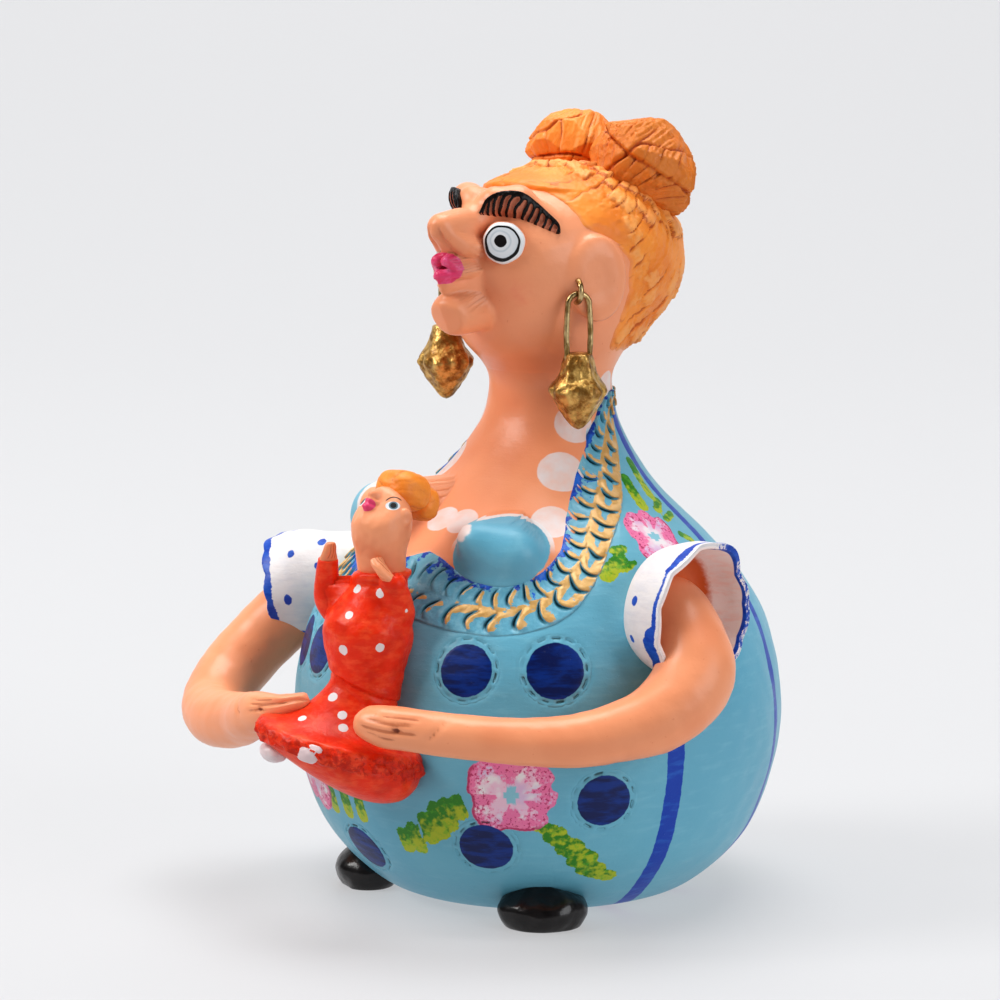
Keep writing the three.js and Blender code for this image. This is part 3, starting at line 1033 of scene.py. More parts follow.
@dataclass
class HeadClay:
    """The woman's head: skull, jaw, a narrow ridge with nose, lips and chin, and flat ears."""

    torso: Torso
    centre: Place = (0, 9.6, 178)
    radii: Place = (28, 41, 28)
    jaw: Place = (0, 3, 160.5)
    jaw_radii: Place = (20.5, 27, 14.5)
    view: Place = (0, 6, 178)
    floor: float = 146.5
    reach: float = 68.0
    steps: int = 46
    rows: int = 206
    columns: int = 256
    ear_turn: float = 23.0
    squat: float = 0.13
    profile: tuple[Dab, ...] = (
        Dab((0, -19, 193.2), (0, -28, 190.2), 5.4, 4.8, 3.0),
        Dab((4.0, -23.6, 195.4), (9.0, -19.6, 195.4), 4.3, 3.9, 3.0),
        Dab((9.0, -19.6, 195.4), (15.4, -12.8, 189.8), 3.9, 3.0, 3.0),
        Dab((0, -34, 189.8), (0, -41.4, 189.4), 4.4, 3.9, 1.6),
        Dab((1.8, -40.6, 187.4), (3.3, -36.0, 184.0), 2.8, 3.0, 1.0),
        Dab((0, -40.8, 186.4), (0, -38.8, 182.4), 1.9, 1.4, 0.9),
        Dab((1.5, -45.4, 190.0), (2.3, -41.0, 184.0), 0.4, 0.8, 0.5, True),
        Dab((4.6, -41.0, 180.6), (7.4, -36.0, 181.2), 0.7, 0.6, 0.8, True),
        Dab((1.9, -41.0, 180.2), (5.2, -37.6, 176.9), 1.8, 0.8, 0.35),
        Dab((0.0, -42.0, 176.3), (5.0, -37.8, 176.4), 1.8, 0.8, 0.35),
        Dab((0, -39.8, 173.4), (0, -34.0, 173.6), 2.4, 3.0, 0.8),
    )
    folds: tuple[Dab, ...] = (
        Dab((0, -44.6, 178.5), (5.6, -38.9, 176.8), 0.65, 0.4, 0.4, True),
        Dab((0, -43.0, 172.4), (6.0, -36.6, 172.2), 0.6, 0.5, 0.6, True),
    )

    def skull(self, points: Array) -> Array:
        """Skull, jaw and neck in one."""
        z = points[..., 2]
        pressed = z + self.squat * np.maximum(z - self.centre[2], 0)
        squat = np.stack([points[..., 0], points[..., 1], pressed], axis=-1)
        near = 0.9 * pebble(squat, self.centre, self.radii)
        near = soft_union(near, pebble(points, self.jaw, self.jaw_radii), 7.0)
        neck = np.hypot(points[..., 0], points[..., 1] - self.torso.drift(z)) - self.torso.wide(z)
        return soft_union(near, np.maximum(neck, z - 160), 6.0)

    def ears(self, points: Array) -> Array:
        """Two flat round flaps, a little hollow, that stand out at the back."""
        half = folded(points)
        flap = pebble(half, (25.9, -5.8, 174.3), (2.7, 8.6, 11.8), (0, 0, -self.ear_turn))
        dish = pebble(half, (30.4, -8.2, 173.6), (3.6, 6.4, 8.6), (0, 0, -self.ear_turn))
        return soft_cut(flap, dish, 1.6)

    def ridge(self, points: Array) -> Array:
        """The profile down the middle of the face, built up from small lumps of clay."""
        half = folded(points)
        near = dabbed(pebble(points, (0, -23.5, 176), (5.4, 14.0, 16)), half, self.profile)
        chin = pebble(points, (0, -35.8, 165.8), (6.2, 7.3, 6.2))
        chin = soft_union(chin, roll(points, (0, -33.5, 165.0), (0, -24, 166.2), 5.6, 6.2), 1.0)
        facet = -(points[..., 1] + 40.3) * 0.86 - (points[..., 2] - 164.0) * 0.46 + half[..., 0] * 0.18
        chin = -soft_union(-chin, -facet, 0.35)
        return dabbed(soft_union(near, chin, 0.6), half, self.folds)

    def shape(self, points: Array) -> Array:
        """The whole head."""
        near = soft_union(self.skull(points), self.ridge(points), 1.1)
        return soft_union(near, self.ears(points), 2.4)

    def build(self, finish: Material) -> None:
        """A globe of points drawn in on the head, cut off inside the neck."""
        way = globe(self.rows, self.columns, 0.55)
        skin = draw_in(way, self.view, self.shape, self.floor, self.reach, self.steps)
        z = skin[..., 2]
        sink = 0.3 * (1 - smooth(z, self.floor, self.floor + 1.5))
        lumps = 0.14 * wobble(skin, 19, 3) + 0.05 * wobble(skin, 5.5, 4)
        mouth = np.linalg.norm(skin - np.array([0, -41, 178.0]), axis=-1)
        lumps = lumps + 0.28 * wobble(skin, 2.6, 5) * (1 - smooth(mouth, 5.0, 7.0))
        mould("head", skin + way * (lumps * smooth(z, 149, 156) - sink)[..., None], {}, finish)

    def spot(self, yaw: Array, pitch: Array) -> tuple[Array, Array]:
        """Points on the head seen from its middle, and the directions towards them."""
        yaw, pitch = np.broadcast_arrays(np.radians(yaw), np.radians(pitch))
        level = np.cos(pitch)
        way = np.stack([level * np.sin(yaw), -level * np.cos(yaw), np.sin(pitch)], axis=-1)
        return settle(np.array(self.view), way, self.shape, self.reach, self.steps), way


@dataclass
class TorsoSkin:
    """The mesh of the body, let in under the collar and the ringed dots."""

    torso: Torso
    head: HeadClay
    pattern: DressPattern
    brim: float = 2.6
    top: float = 150.5
    dashes: int = 13
    dot_rows: int = 26
    dot_columns: int = 90

    def shape(self, points: Array) -> Array:
        """Body and head as one piece of clay."""
        near = self.torso.shape(points)
        skull = pebble(points, self.head.centre, self.head.radii)
        jaw = pebble(points, self.head.jaw, self.head.jaw_radii)
        return soft_union(near, soft_union(skull, jaw, 7.0), 6.0)

    def let_in(self, points: Array) -> Array:
        """How far the body sinks under the pieces laid on it."""
        depth = 1.5 * (1 - smooth(np.abs(self.pattern.collar.off_line(points)), 0.74, 0.95))
        for dot in self.pattern.dots:
            gap = np.linalg.norm(points - self.torso.spot(dot.angle, dot.height), axis=-1)
            edge = dot.size + self.brim
            depth = np.maximum(depth, 0.75 * (1 - smooth(gap, edge - 1.9, edge - 0.7)))
        return depth

    def lumps(self, points: Array) -> Array:
        """The unevenness of the hand-built wall."""
        return 0.22 * wobble(points, 34, 1) + 0.09 * wobble(points, 11, 2)

    def build(self, finish: Material) -> None:
        """Rings of points at equal steps along the outline, drawn in on the clay.

        Args:
            finish: its paint.
        """
        climb = np.linspace(self.torso.climb(0.0), self.torso.climb(self.top), self.torso.rows)
        z = self.torso.height(climb)
        angle = np.linspace(-180, 180, self.torso.columns, endpoint=False)
        zz, aa = np.meshgrid(z, angle, indexing="ij")
        skin, heading = self.torso.draw_level(self.torso.spot(aa, zz), self.shape, 40)
        marks = self.pattern.marks(skin)
        lumps = self.lumps(skin) * smooth(zz, 3, 12) * (1 - smooth(zz, 138, 147))
        sink = self.let_in(skin) + 0.3 * smooth(zz, 147.5, 149.5)
        skin = skin + heading * (lumps - sink)[..., None]
        mould("body", skin, marks, finish, ((0, 0, 0), (0, self.torso.set_back, self.top)))

    def build_dots(self, finish: Material) -> None:
        """A thin round plate for each dot, with a ring of pressed dashes.

        A plate is rings about its middle. Dashes are dents where the radius is near the ring's.

        Args:
            finish: its paint.
        """
        for number, dot in enumerate(self.pattern.dots):
            middle, right, rise = self.pattern.frame(dot)
            edge = dot.size + self.brim
            radius = np.linspace(0.25, edge, self.dot_rows)[:, None]
            turn = full_turn(self.dot_columns)
            across, up = radius * np.cos(turn), radius * np.sin(turn)
            near = middle + across[..., None] * right + up[..., None] * rise
            skin, heading = self.torso.draw_level(near, self.shape, 30)
            marks = self.pattern.marks(skin)
            dent = dash_ring(radius, turn, dot.size + 1.15, self.dashes, number)
            brim = smooth(radius, edge - 0.5, edge)
            disc = 0.10 * (1 - smooth(radius, dot.size - 0.5, dot.size + 0.15))
            height = self.lumps(skin) * smooth(near[..., 2], 3, 12) + disc - 0.6 * dent - 0.45 * brim
            top = skin + heading * height[..., None]
            under = skin[::-6][1:] - heading[::-6][1:] * 1.6
            rings = np.concatenate([top, under])
            marks["dent"] = dent
            marks = {name: np.concatenate([values, 0 * under[..., 0]]) for name, values in marks.items()}
            mould(f"dress_dot_{number + 1}", rings, marks, finish)


def dash_ring(radius: Array, turn: Array, ring: float, count: int, seed: int) -> Array:
    """Depth from 0 to 1 of a ring of short pressed dashes, each a little out of place.

    Args:
        radius: distances from the plate's middle.
        turn: angles round it, in radians.
        ring: the ring's radius.
        count: how many dashes.
        seed: number for the random choices.

    Returns:
        The depth.
    """
    run = turn / (2 * math.pi) * count + 0.37 * seed
    cell = np.floor(run)
    part = run - cell - 0.5 + 0.2 * (scatter(cell, seed + 0.7) - 0.5)
    slip = 0.55 * (scatter(cell, seed + 2.7) - 0.5)
    along = np.abs(part) * 2 * math.pi * ring / count
    across = np.abs(radius - ring - slip)
    long = 0.75 + 0.5 * scatter(cell, seed + 4.7)
    press = 0.35 + 0.65 * np.minimum(1, 1.6 * scatter(cell, seed + 5.7))
    return press * (1 - smooth(along, long, long + 0.5)) * (1 - smooth(across, 0.12, 0.55))


# Paint on the woman


def peach(paint: Paint) -> Wire:
    """Skin paint with a warmer cast in broad patches."""
    return paint.colour(paint.noise(26.0).over(0.58, 0.18) * 0.5, TINT.skin, TINT.skin_dark)


def varnished(paint: Paint, ground: Wire, relief: Wire) -> Material:
    """Ends a skin paint with specks and uneven varnish."""
    specks = paint.noise(1.3, 1.0).over(0.76, 0.02)
    ground = paint.colour(specks * 0.35, ground, TINT.skin_dark)
    return paint.finish(Gloss(), ground, relief, roughness=paint.noise(12.0, 3.0) * 0.20 + 0.26)


@dataclass(frozen=True)
class BodyFinish:
    """Dress, neckline, lace and painted flowers, laid where the body's own marks say."""

    dented: bool = False
    petal_edge: tuple[tuple[float, float], ...] = (
        (-180, 0.96), (-170, 0.88), (-155, 0.97), (-135, 1.06), (-110, 0.97), (-95, 0.84), (-80, 0.87),
        (-60, 0.98), (-40, 1.04), (-28, 0.87), (-15, 0.98), (0, 1.02), (10, 0.90), (25, 1.04), (45, 1.03),
        (70, 0.93), (90, 0.83), (100, 0.76), (120, 0.93), (145, 1.07), (165, 1.02), (180, 0.96),
    )
    widest: float = 1.1

    def flowers(self, paint: Paint, ground: Wire, frayed: Wire) -> Wire:
        """Five uneven petals, pale inside, with stippled pink rims round a small blue cross.

        Args:
            paint: the material under construction.
            ground: the colour below.
            frayed: noise that frays the edges.

        Returns:
            The colour with the flowers on it.
        """
        u, v, near = paint.mark("petal_u"), paint.mark("petal_v"), paint.mark("petal")
        angle = paint.math("ARCTAN2", v, u)
        far = paint.math("SQRT", u * u + v * v)
        stops = [((a + 180) / 360, r / self.widest) for a, r in self.petal_edge]
        edge = paint.curve(angle / (2 * math.pi) + 0.5, stops) * self.widest
        reach = far / edge + (frayed - 0.5) * 0.12
        dabs = paint.noise(1.5, 3.0, rough=0.7)
        specks = paint.noise(0.75, rough=0.6)
        clouds = paint.noise(4.6)
        petals = paint.colour(clouds.over(0.54, 0.08), TINT.pink_pale, TINT.petal)
        petals = paint.colour(paint.noise(7.0).over(0.56, 0.10) * 0.6, petals, TINT.lilac)
        parting = edge.under(0.94, 0.06) * reach.over(0.3, 0.15)
        rosy = reach * 0.9 + parting * 0.35 + (dabs - 0.5) * 1.5 + (clouds - 0.5) * -0.8
        whole = paint.colour(rosy.over(0.64, 0.16) * 0.9, petals, TINT.pink)
        dark = specks.over(0.60, 0.04) * (reach + (dabs - 0.5) * 0.8).over(0.66, 0.12)
        whole = paint.colour(dark * 0.85, whole, TINT.crimson)
        shaded = (u * -1.0 - v + (clouds - 0.5) * 4.0).over(0.2, 0.3)
        outline = (reach - 0.965).size().under(0.035, 0.02) * shaded
        whole = paint.colour(outline * 0.8, whole, TINT.crimson)
        slot = (u.size() * 6.0).most(v.size() * 3.0) + (frayed - 0.5) * 0.5
        cross = (u.size() * 3.6).most(v.size() * 9.0)
        whole = paint.colour(slot.least(cross).under(0.62, 0.08), whole, TINT.dress_pale)
        return paint.colour(reach.under(1.0, 0.015) * near.under(1.3, 0.05), ground, whole)

    def leaves(self, paint: Paint, ground: Wire, frayed: Wire) -> Wire:
        """Short dabs, green above and yellow below, ragged from the brush."""
        ragged = paint.noise(1.3, 3.0, rough=0.7)
        mask = (paint.mark("leaf") + (ragged - 0.5) * 1.5).under(0.0, 0.08)
        lit = paint.mark("down") + (paint.noise(1.8) - 0.5) * 1.6
        green = paint.colour(lit.over(0.52, 0.22), TINT.leaf, TINT.leaf_lit)
        green = paint.colour((frayed + ragged).over(1.10, 0.06) * 0.5, green, TINT.leaf_bright)
        return paint.colour(mask, ground, green)

    def neckline(self, paint: Paint, ground: Wire, frayed: Wire) -> Wire:
        """Skin inside the neckline, a scalloped white lace along it, and the painted bodice.

        Args:
            paint: the material under construction.
            ground: the colour below.
            frayed: noise that frays the edges.

        Returns:
            The colour with the neckline on it.
        """
        neck, lace = paint.mark("neck"), paint.mark("lace")
        ground = paint.colour(neck.over(-0.6, 0.3), ground, peach(paint))
        mask = (lace + (frayed - 0.5) * 0.5).under(0.0, 0.2) * neck.over(-1.5, 0.4)
        veil = 0.72 + (paint.noise(5.0) - 0.5) * 0.9
        ground = paint.colour(mask * veil, ground, TINT.white)
        wavy = paint.mark("bodice") + (frayed - 0.5) * 0.7
        low = paint.mark("low")
        rim = wavy.under(1.3, 0.15) * low.under(-2.0, 2.0) * 0.85
        ground = paint.colour(rim, ground, TINT.white)
        arc = wavy.under(2.4, 0.2) * low.over(6.0, 1.5)
        ground = paint.colour(arc, ground, TINT.cobalt)
        bodice = paint.colour(paint.noise(9.0, 3.0).over(0.6, 0.12) * 0.35, TINT.dress, TINT.dress_pale)
        return paint.colour(wavy.under(0.0, 0.15), ground, bodice)

    def material(self) -> Material:
        """Lays the paints on one over another."""
        paint = Paint("dented_dress_paint" if self.dented else "dress_paint")
        frayed = paint.noise(2.2, 3.0, rough=0.6)
        streaks = paint.noise(9.0, 3.0, (1.0, 1.0, 0.22), 0.6)
        ground = paint.colour(paint.noise(42.0).over(0.55, 0.2) * 0.6, TINT.dress, TINT.dress_cloud)
        ground = paint.colour(streaks.over(0.62, 0.14) * 0.25, ground, TINT.dress_pale)
        tone = paint.colour(streaks.over(0.58, 0.12) * 0.8, TINT.cobalt, TINT.cobalt_streak)
        ground = paint.colour((paint.mark("stripe") + (frayed - 0.5) * 0.8).under(0.0, 0.15), ground, tone)
        ground = self.leaves(paint, ground, frayed)
        ground = self.flowers(paint, ground, frayed)
        dot = paint.mark("dot") + (frayed - 0.5) * 0.10
        tone = paint.colour(streaks.over(0.50, 0.12) * 0.75, TINT.navy, TINT.navy_streak)
        ground = paint.colour(dot.under(1.0, 0.02), ground, tone)
        ground = self.neckline(paint, ground, frayed)
        if self.dented:
            # Painted shade: the pressed dashes round the dots are darkened to a deep teal.
            dent = paint.mark("dent")
            ground = paint.colour(dent.over(0.5, 0.3) * 0.8, ground, TINT.dash_painted_shade)
        pits = paint.noise(2.6, 3.0, rough=0.55)
        relief = pits * 0.10 + streaks * 0.10 + paint.noise(0.7).over(0.72, 0.05) * 0.05
        worn = paint.noise(14.0, 3.0) * 0.22 + 0.28
        return paint.finish(Gloss(), ground, relief, roughness=worn)


@dataclass(frozen=True)
class CollarFinish:
    """Gold brushed over blue, so that it holds on the high places."""

    def material(self) -> Material:
        """Gold on the scales and along the middle, a painted shade of dark teal in the cuts with the gold
        darkened as painted shade beside them, cobalt on the inner side.
        """
        paint = Paint("collar_gilding")
        groove, lift = paint.mark("groove"), paint.mark("lift")
        inner, along = paint.mark("inner"), paint.mark("along")
        frayed = paint.noise(2.2, 3.0, rough=0.65)
        patches = paint.noise(5.5)
        drift = paint.noise(16.0, 1.0)
        blue = paint.colour(frayed.over(0.55, 0.12) * 0.4, TINT.dress, TINT.dress_pale)
        cobalt = paint.colour(patches.over(0.56, 0.05), TINT.cobalt, TINT.cobalt_lit)
        rim = inner * 0.75 + (patches - 0.5) * 2.4 + (frayed - 0.5)
        ground = paint.colour(rim.over(0.62, 0.06), blue, cobalt)
        front = along.under(34.0, 10.0)
        outer = (inner + 0.72).size().under(0.22, 0.08) * along.over(46.0, 6.0)
        band = (inner + 0.08).size().under(0.20, 0.06) + outer
        hold = lift * 1.1 + band * 0.75 - inner * 0.16 + (frayed - 0.5) * 1.5 + (drift - 0.5) * 0.9
        hold = hold - front * along.under(16.0, 8.0) * 0.55
        gold = paint.colour(paint.noise(3.0, 3.0).over(0.52, 0.16) * 0.7, TINT.gold, TINT.gold_lit)
        # Painted shade: the gold darkens next to the pressed cuts.
        gold = paint.colour(groove.over(0.12, 0.12) * 0.55, gold, TINT.gold_painted_shade)
        ground = paint.colour(hold.over(0.46, 0.07), ground, gold)
        # Painted shade: the cuts are filled with dark teal where the blue ground lies in shadow.
        cut = paint.colour(groove.over(0.72, 0.2), TINT.cut_painted_shade, TINT.cut_painted_shade_deep)
        ground = paint.colour((groove + (frayed - 0.5) * 0.35).over(0.36, 0.12), ground, cut)
        low = inner * -1.0 + (frayed - 0.5) * 0.5
        ground = paint.colour(low.over(0.88, 0.06), ground, blue)
        relief = paint.noise(0.9, 3.0) * 0.16 + frayed * 0.12
        shine = hold.over(0.5, 0.1) * groove.under(0.3, 0.2) * 0.25
        return paint.finish(Gloss(roughness=0.42, coat=0.2), ground, relief, metallic=shine)


@dataclass(frozen=True)
class FaceFinish:
    """Peach paint under varnish, with lips and blush."""

    def material(self) -> Material:
        """Peach with a warmer cast in broad patches."""
        paint = Paint("face_paint")
        ground = self.face_paint(paint, peach(paint))
        streaks = paint.noise(7.0, 3.0, (1.0, 1.0, 0.3), 0.6)
        return varnished(paint, ground, paint.noise(2.2, 3.0) * 0.08 + streaks * 0.06)

    def face_paint(self, paint: Paint, ground: Wire) -> Wire:
        """Blushed cheeks and pink lips."""
        side, _ = paint.folded(0.0)
        frayed = paint.noise(2.0, 3.0)
        cheek = paint.vector("DISTANCE", side, (15.5, -27.5, 169.5))
        ground = paint.colour((cheek + (frayed - 0.5) * 5.0).under(3.2, 3.0) * 0.4, ground, TINT.blush)
        reach = paint.reach(side, (0.0, -41.4, 178.2), (6.2, 5.8, 4.3)) + (frayed - 0.5) * 0.22
        tone = paint.colour(paint.noise(2.6).over(0.55, 0.12), TINT.lips, TINT.lips_pale)
        return paint.colour(reach.under(1.0, 0.03), ground, tone)


# Face pieces


@dataclass
class Eyes:
    """Round discs of clay set on the face, with painted rings."""

    head: HeadClay
    middle: Place = (10.2, -27.3, 184.8)
    facing: Place = (0.62, -0.78, 0.06)
    outline: tuple[tuple[float, float], ...] = (
        (0.05, 0.9), (2.6, 0.85), (4.6, 0.62), (5.35, 0.15), (5.7, -0.8), (5.95, -3.6),
    )
    raised: float = 1.7
    rows: int = 56
    columns: int = 72

    def build(self, finish: Material) -> None:
        """A turned disc with a rounded rim for each side.

        Args:
            finish: its paint.
        """
        outline = through(self.outline, self.rows)
        turn = full_turn(self.columns)
        for side, name in ((1, "left_eye"), (-1, "right_eye")):
            out = unit(np.array(self.facing) * np.array([side, 1, 1]))
            right, rise = upright(out)
            u = outline[:, :1] * np.cos(turn)
            v = outline[:, :1] * np.sin(turn)
            middle = np.array(self.middle) * np.array([side, 1, 1]) + out * self.raised
            wavy = 1 + 0.018 * np.sin(turn * 3 + side) + 0.012 * np.sin(turn * 7)
            disc = middle + (u * wavy)[..., None] * right + (v * wavy)[..., None] * rise
            disc = disc + outline[:, 1][:, None, None] * out
            marks = {
                "spread": np.hypot(u + side * 0.35, v),
                "pupil": np.hypot(u + side * 0.85, v - 0.5),
                "low": v + 0 * u,
                "edge": np.broadcast_to(outline[:, 1:2], u.shape),
            }
            mould(name, disc, marks, finish, (middle + out * 0.9, middle - out * 3.7))


@dataclass(frozen=True)
class EyeFinish:
    """White disc, black ring, grey shade and black pupil."""

    def material(self) -> Material:
        """Reads the distance from the ring's middle and from the pupil's."""
        paint = Paint("eye_paint")
        spread, pupil, edge = paint.mark("spread"), paint.mark("pupil"), paint.mark("edge")
        frayed = paint.noise(2.4)
        wavy = spread + (frayed - 0.5) * 0.35
        ground = paint.colour((pupil - 2.75).size().under(0.22, 0.25) * 0.6, TINT.eye, TINT.eye_ring)
        ground = paint.colour(wavy.over(3.6, 0.8) * 0.35, ground, TINT.eye_shade)
        wide = paint.mark("low").under(-1.0, 3.0) * 0.22 + 0.27
        ring = ((wavy - 4.55).size() / wide).under(1.0, 0.22)
        ground = paint.colour(wavy.over(4.9, 0.2), ground, TINT.eye_rim)
        ground = paint.colour(ring, ground, TINT.black)
        ground = paint.colour((pupil + (frayed - 0.5) * 0.3).under(1.7, 0.08), ground, TINT.black)
        ground = paint.colour(edge.under(-1.1, 0.25), ground, TINT.skin)
        return paint.finish(Gloss(coat=0.12, specular=0.3), ground, paint.noise(1.6) * 0.08)


@dataclass
class Brows:
    """Arched bands with slanting strokes cut through the black to the skin.

    The edges are a yaw with the pitch of the upper and the lower edge, seen from the head's middle.
    """

    head: HeadClay
    edges: tuple[tuple[float, float, float], ...] = (
        (6.2, 22.8, 21.6), (7.4, 27.2, 21.8), (10.4, 30.4, 22.6), (14.3, 33.0, 23.4), (21.2, 34.0, 23.1),
        (26.7, 33.4, 22.0), (32.5, 31.2, 20.1), (37.8, 27.7, 18.3), (42.2, 24.1, 16.9), (43.9, 20.8, 17.8),
    )
    raised: float = 1.15
    pitch: float = 2.2
    rows: int = 160
    columns: int = 32

    def build(self, finish: Material) -> None:
        """A band laid on the head: along its arch, and across from the upper edge to the lower.

        Args:
            finish: its paint.
        """
        edge = evenly(through(self.edges, 300), self.rows)
        share = np.linspace(0, 1, self.columns)
        middle = np.array(self.head.view)
        for side, name in ((1, "left_brow"), (-1, "right_brow")):
            pitch = edge[:, 1:2] + share * (edge[:, 2:3] - edge[:, 1:2])
            skin, way = self.head.spot(side * edge[:, :1] + 0 * pitch, pitch)
            across = np.linalg.norm(skin - skin[:, :1], axis=-1)
            length = length_along(skin[:, 0])
            run = length[:, None] / self.pitch + across * 0.22 + 0.12 * wobble(skin, 5, 11)
            part = np.abs(run - np.floor(run) - 0.5) * 2
            wide = 0.60 + 0.16 * (scatter(np.floor(run), 4.0) - 0.5)
            top = 1.35 + 0.5 * scatter(np.floor(run), 8.0)
            wide = wide - 0.35 * bell(across - top, 0.5)
            slit = (1 - smooth(part, wide - 0.12, wide + 0.14)) * smooth(across, top, top + 0.5)
            last = length[-1]
            ends = smooth(length, 0.6, 1.8) * (1 - smooth(length, last - 2.4, last - 1.2))
            slit = slit * ends[:, None]
            brim = smooth(across, 0.0, 0.5) * (1 - smooth(share, 0.88, 1.0)[None, :])
            body = brim * (smooth(length, 0, 0.8) * (1 - smooth(length, last - 0.8, last)))[:, None]
            lift = self.raised * body * (1 - 0.72 * slit) - 0.12 * (1 - body)
            lift = lift + 0.07 * wobble(skin, 1.6, 12) * body
            top_side = skin + way * lift[..., None]
            under = skin[:, ::-1][:, 1:-1:5] - (skin - middle)[:, ::-1][:, 1:-1:5] / 45
            rings = np.concatenate([top_side, under], axis=1)
            marks = {"slit": np.concatenate([slit, np.zeros(under.shape[:2])], axis=1)}
            mould(name, rings, marks, finish)


@dataclass(frozen=True)
class BrowFinish:
    """Black strokes with skin between them, the skin darkened in the slits as painted shade."""

    def material(self) -> Material:
        """Reads how deep in a slit a point is."""
        paint = Paint("brow_paint")
        slit = paint.mark("slit") + (paint.noise(1.0) - 0.5) * 0.35
        # Painted shade: the skin in the slits is darker than the face.
        ground = paint.colour(slit.over(0.5, 0.08), TINT.black, TINT.brow_slit_painted_shade)
        return paint.finish(Gloss(roughness=0.3, coat=0.06, specular=0.2), ground, paint.noise(0.9) * 0.15)


# Hair


@dataclass
class Hair:
    """Hair carved in strokes that gather into two buns."""

    head: HeadClay
    gather: Place = (9, 29, 198)
    floor: float = 147.5
    reach: float = 62.0
    steps: int = 40
    strokes_carved: int = 36
    strokes_smooth: int = 20
    thick: float = 1.5
    rows: int = 210
    columns: int = 330
    line: tuple[tuple[float, float], ...] = (
        (-60, 85), (-51, 85), (-40, 86.2), (-16, 89.6), (1, 85.5), (11, 76), (16.3, 64.7), (22.9, 56.1),
        (35.9, 48.2), (42.9, 36.7), (45.7, 29), (47.5, 0), (50, -30), (60, -70),
    )

    def behind(self, points: Array) -> Array:
        """Millimetres behind the hairline, which is a yaw for each pitch seen from the head's middle."""
        local = points - np.array(self.head.view, dtype=float)
        yaw = np.degrees(np.arctan2(np.abs(local[..., 0]), -local[..., 1]))
        pitch = np.degrees(np.arctan2(local[..., 2], np.hypot(local[..., 0], local[..., 1])))
        table = np.array(self.line)
        edge = np.interp(pitch, table[:, 0], table[:, 1])
        return (yaw - edge) * 0.42 * np.cos(np.radians(pitch)) + 0.5 * wobble(points, 9, 21)

    def strokes(self, points: Array, count: float, seed: int) -> tuple[Array, Array]:
        """Height and depth of the carved strokes, which run down from the bun on their own side.

        A stroke is a cell of the angle about the line from the head's middle to the bun. Under the
        bun it is cut in short ledges; further down it runs long. Each facet leans its own way.

        Args:
            points: places on the head.
            count: strokes in a full turn.
            seed: number for the random choices.

        Returns:
            Height of the clay, and how deep in a cut a point is from 0 to 1.
        """
        middle = np.array(self.head.view)
        pole = unit(np.array(self.gather) - middle)
        first = unit(np.cross(pole, [1.0, 0, 0]))
        second = np.cross(pole, first)
        local = unit(folded(points) - middle)
        turn = np.arctan2(local @ second, local @ first)
        down = np.arccos(np.clip(local @ pole, -1, 1)) * 34
        lean = 0.010 * down + 0.5 * wobble(points, 40, seed)
        run = turn / (2 * math.pi) * count + lean + 0.10 * wobble(points, 5, seed + 1)
        cell = np.floor(run)
        part = run - cell
        near = 1 - smooth(down, 27, 31)
        short = 7.5 + 5.0 * scatter(cell, seed)
        slip = 6 * scatter(cell, seed + 1)
        ledge = np.where(down < 29, (down + slip) / short, (29 + slip) / short + (down - 29) / 12)
        ledge = ledge + 0.06 * wobble(points, 2.5, seed + 8)
        step = np.floor(ledge)
        fall = ledge - step
        tilt = (scatter(cell + 50 * step, seed + 2) - 0.5) * (2.6 + 1.4 * near)
        high = 0.15 + 1.0 * scatter(cell * 3 + 7 * step, seed + 3)
        side = 0.05 + 0.04 * scatter(np.round(run), seed + 6)
        kept = scatter(np.round(run) + 9 * step, seed + 4) > 0.3
        groove = bell(np.minimum(part, 1 - part), side) * kept
        drop = bell(fall - 0.965, 0.035) * (0.25 + 0.50 * near)
        swell = smooth(fall, 0.0, 0.80) * (1 - smooth(fall, 0.93, 1.0)) * high
        torn = np.abs(wobble(points, 1.9, seed + 9)) * (0.08 + 0.22 * (1 - near))
        height = (0.75 + 0.65 * near) * swell + 0.42 * (part - 0.5) * tilt - 0.65 * groove + torn
        return height, np.clip(groove + drop, 0, 1)

    def build_cap(self, finish: Material) -> None:
        """A globe of points drawn in on the skull and thickened behind the hairline.

        Args:
            finish: its paint.
        """
        way = globe(self.rows, self.columns, -0.15)
        skin = draw_in(way, self.head.view, self.head.skull, self.floor, self.reach, self.steps)
        behind = self.behind(skin)
        x, y, z = skin[..., 0], skin[..., 1], skin[..., 2]
        nape = smooth(z + 0.9 * wobble(skin, 8, 22), self.floor + 1, self.floor + 9)
        full = smooth(behind, -0.4, 1.8) * nape
        coarse = smooth(y - 0.2 * np.abs(x), -5, 3) * smooth(behind, 0.5, 4)
        patch = smooth(wobble(skin, 24, 52), -0.35, 0.15)
        chips = np.maximum(0, wobble(skin, 2.4, 51) - 0.30) * 0.45 * patch
        height, groove = self.strokes(skin, self.strokes_carved, 31)
        soft, line = self.strokes(skin, self.strokes_smooth, 41)
        high = smooth(z, 184, 190)
        rough = coarse * (0.25 + 0.75 * np.maximum(patch, high))
        carved = rough * (height - chips) + (1 - rough) * 0.36 * soft + 0.12 * coarse * wobble(skin, 1.6, 53)
        thick = 0.35 + (self.thick - 0.35) * smooth(behind, 0, 12)
        lift = -1.3 * (1 - full) + full * (thick + carved - 0.25)
        marks = {
            "carved": carved, "groove": rough * groove + (1 - rough) * 0.55 * line, "coarse": rough,
            "edge": np.minimum(behind, (z - self.floor - 4) * 0.55),
        }
        mould("hair", skin + way * lift[..., None], marks, finish)

    def build_buns(self, finish: Material) -> None:
        """Both buns; the left one gets a darker copy of the hair paint as painted shade."""
        LEFT_BUN.build(HairFinish("left_bun_shaded_paint", 0.5).material())
        RIGHT_BUN.build(finish)


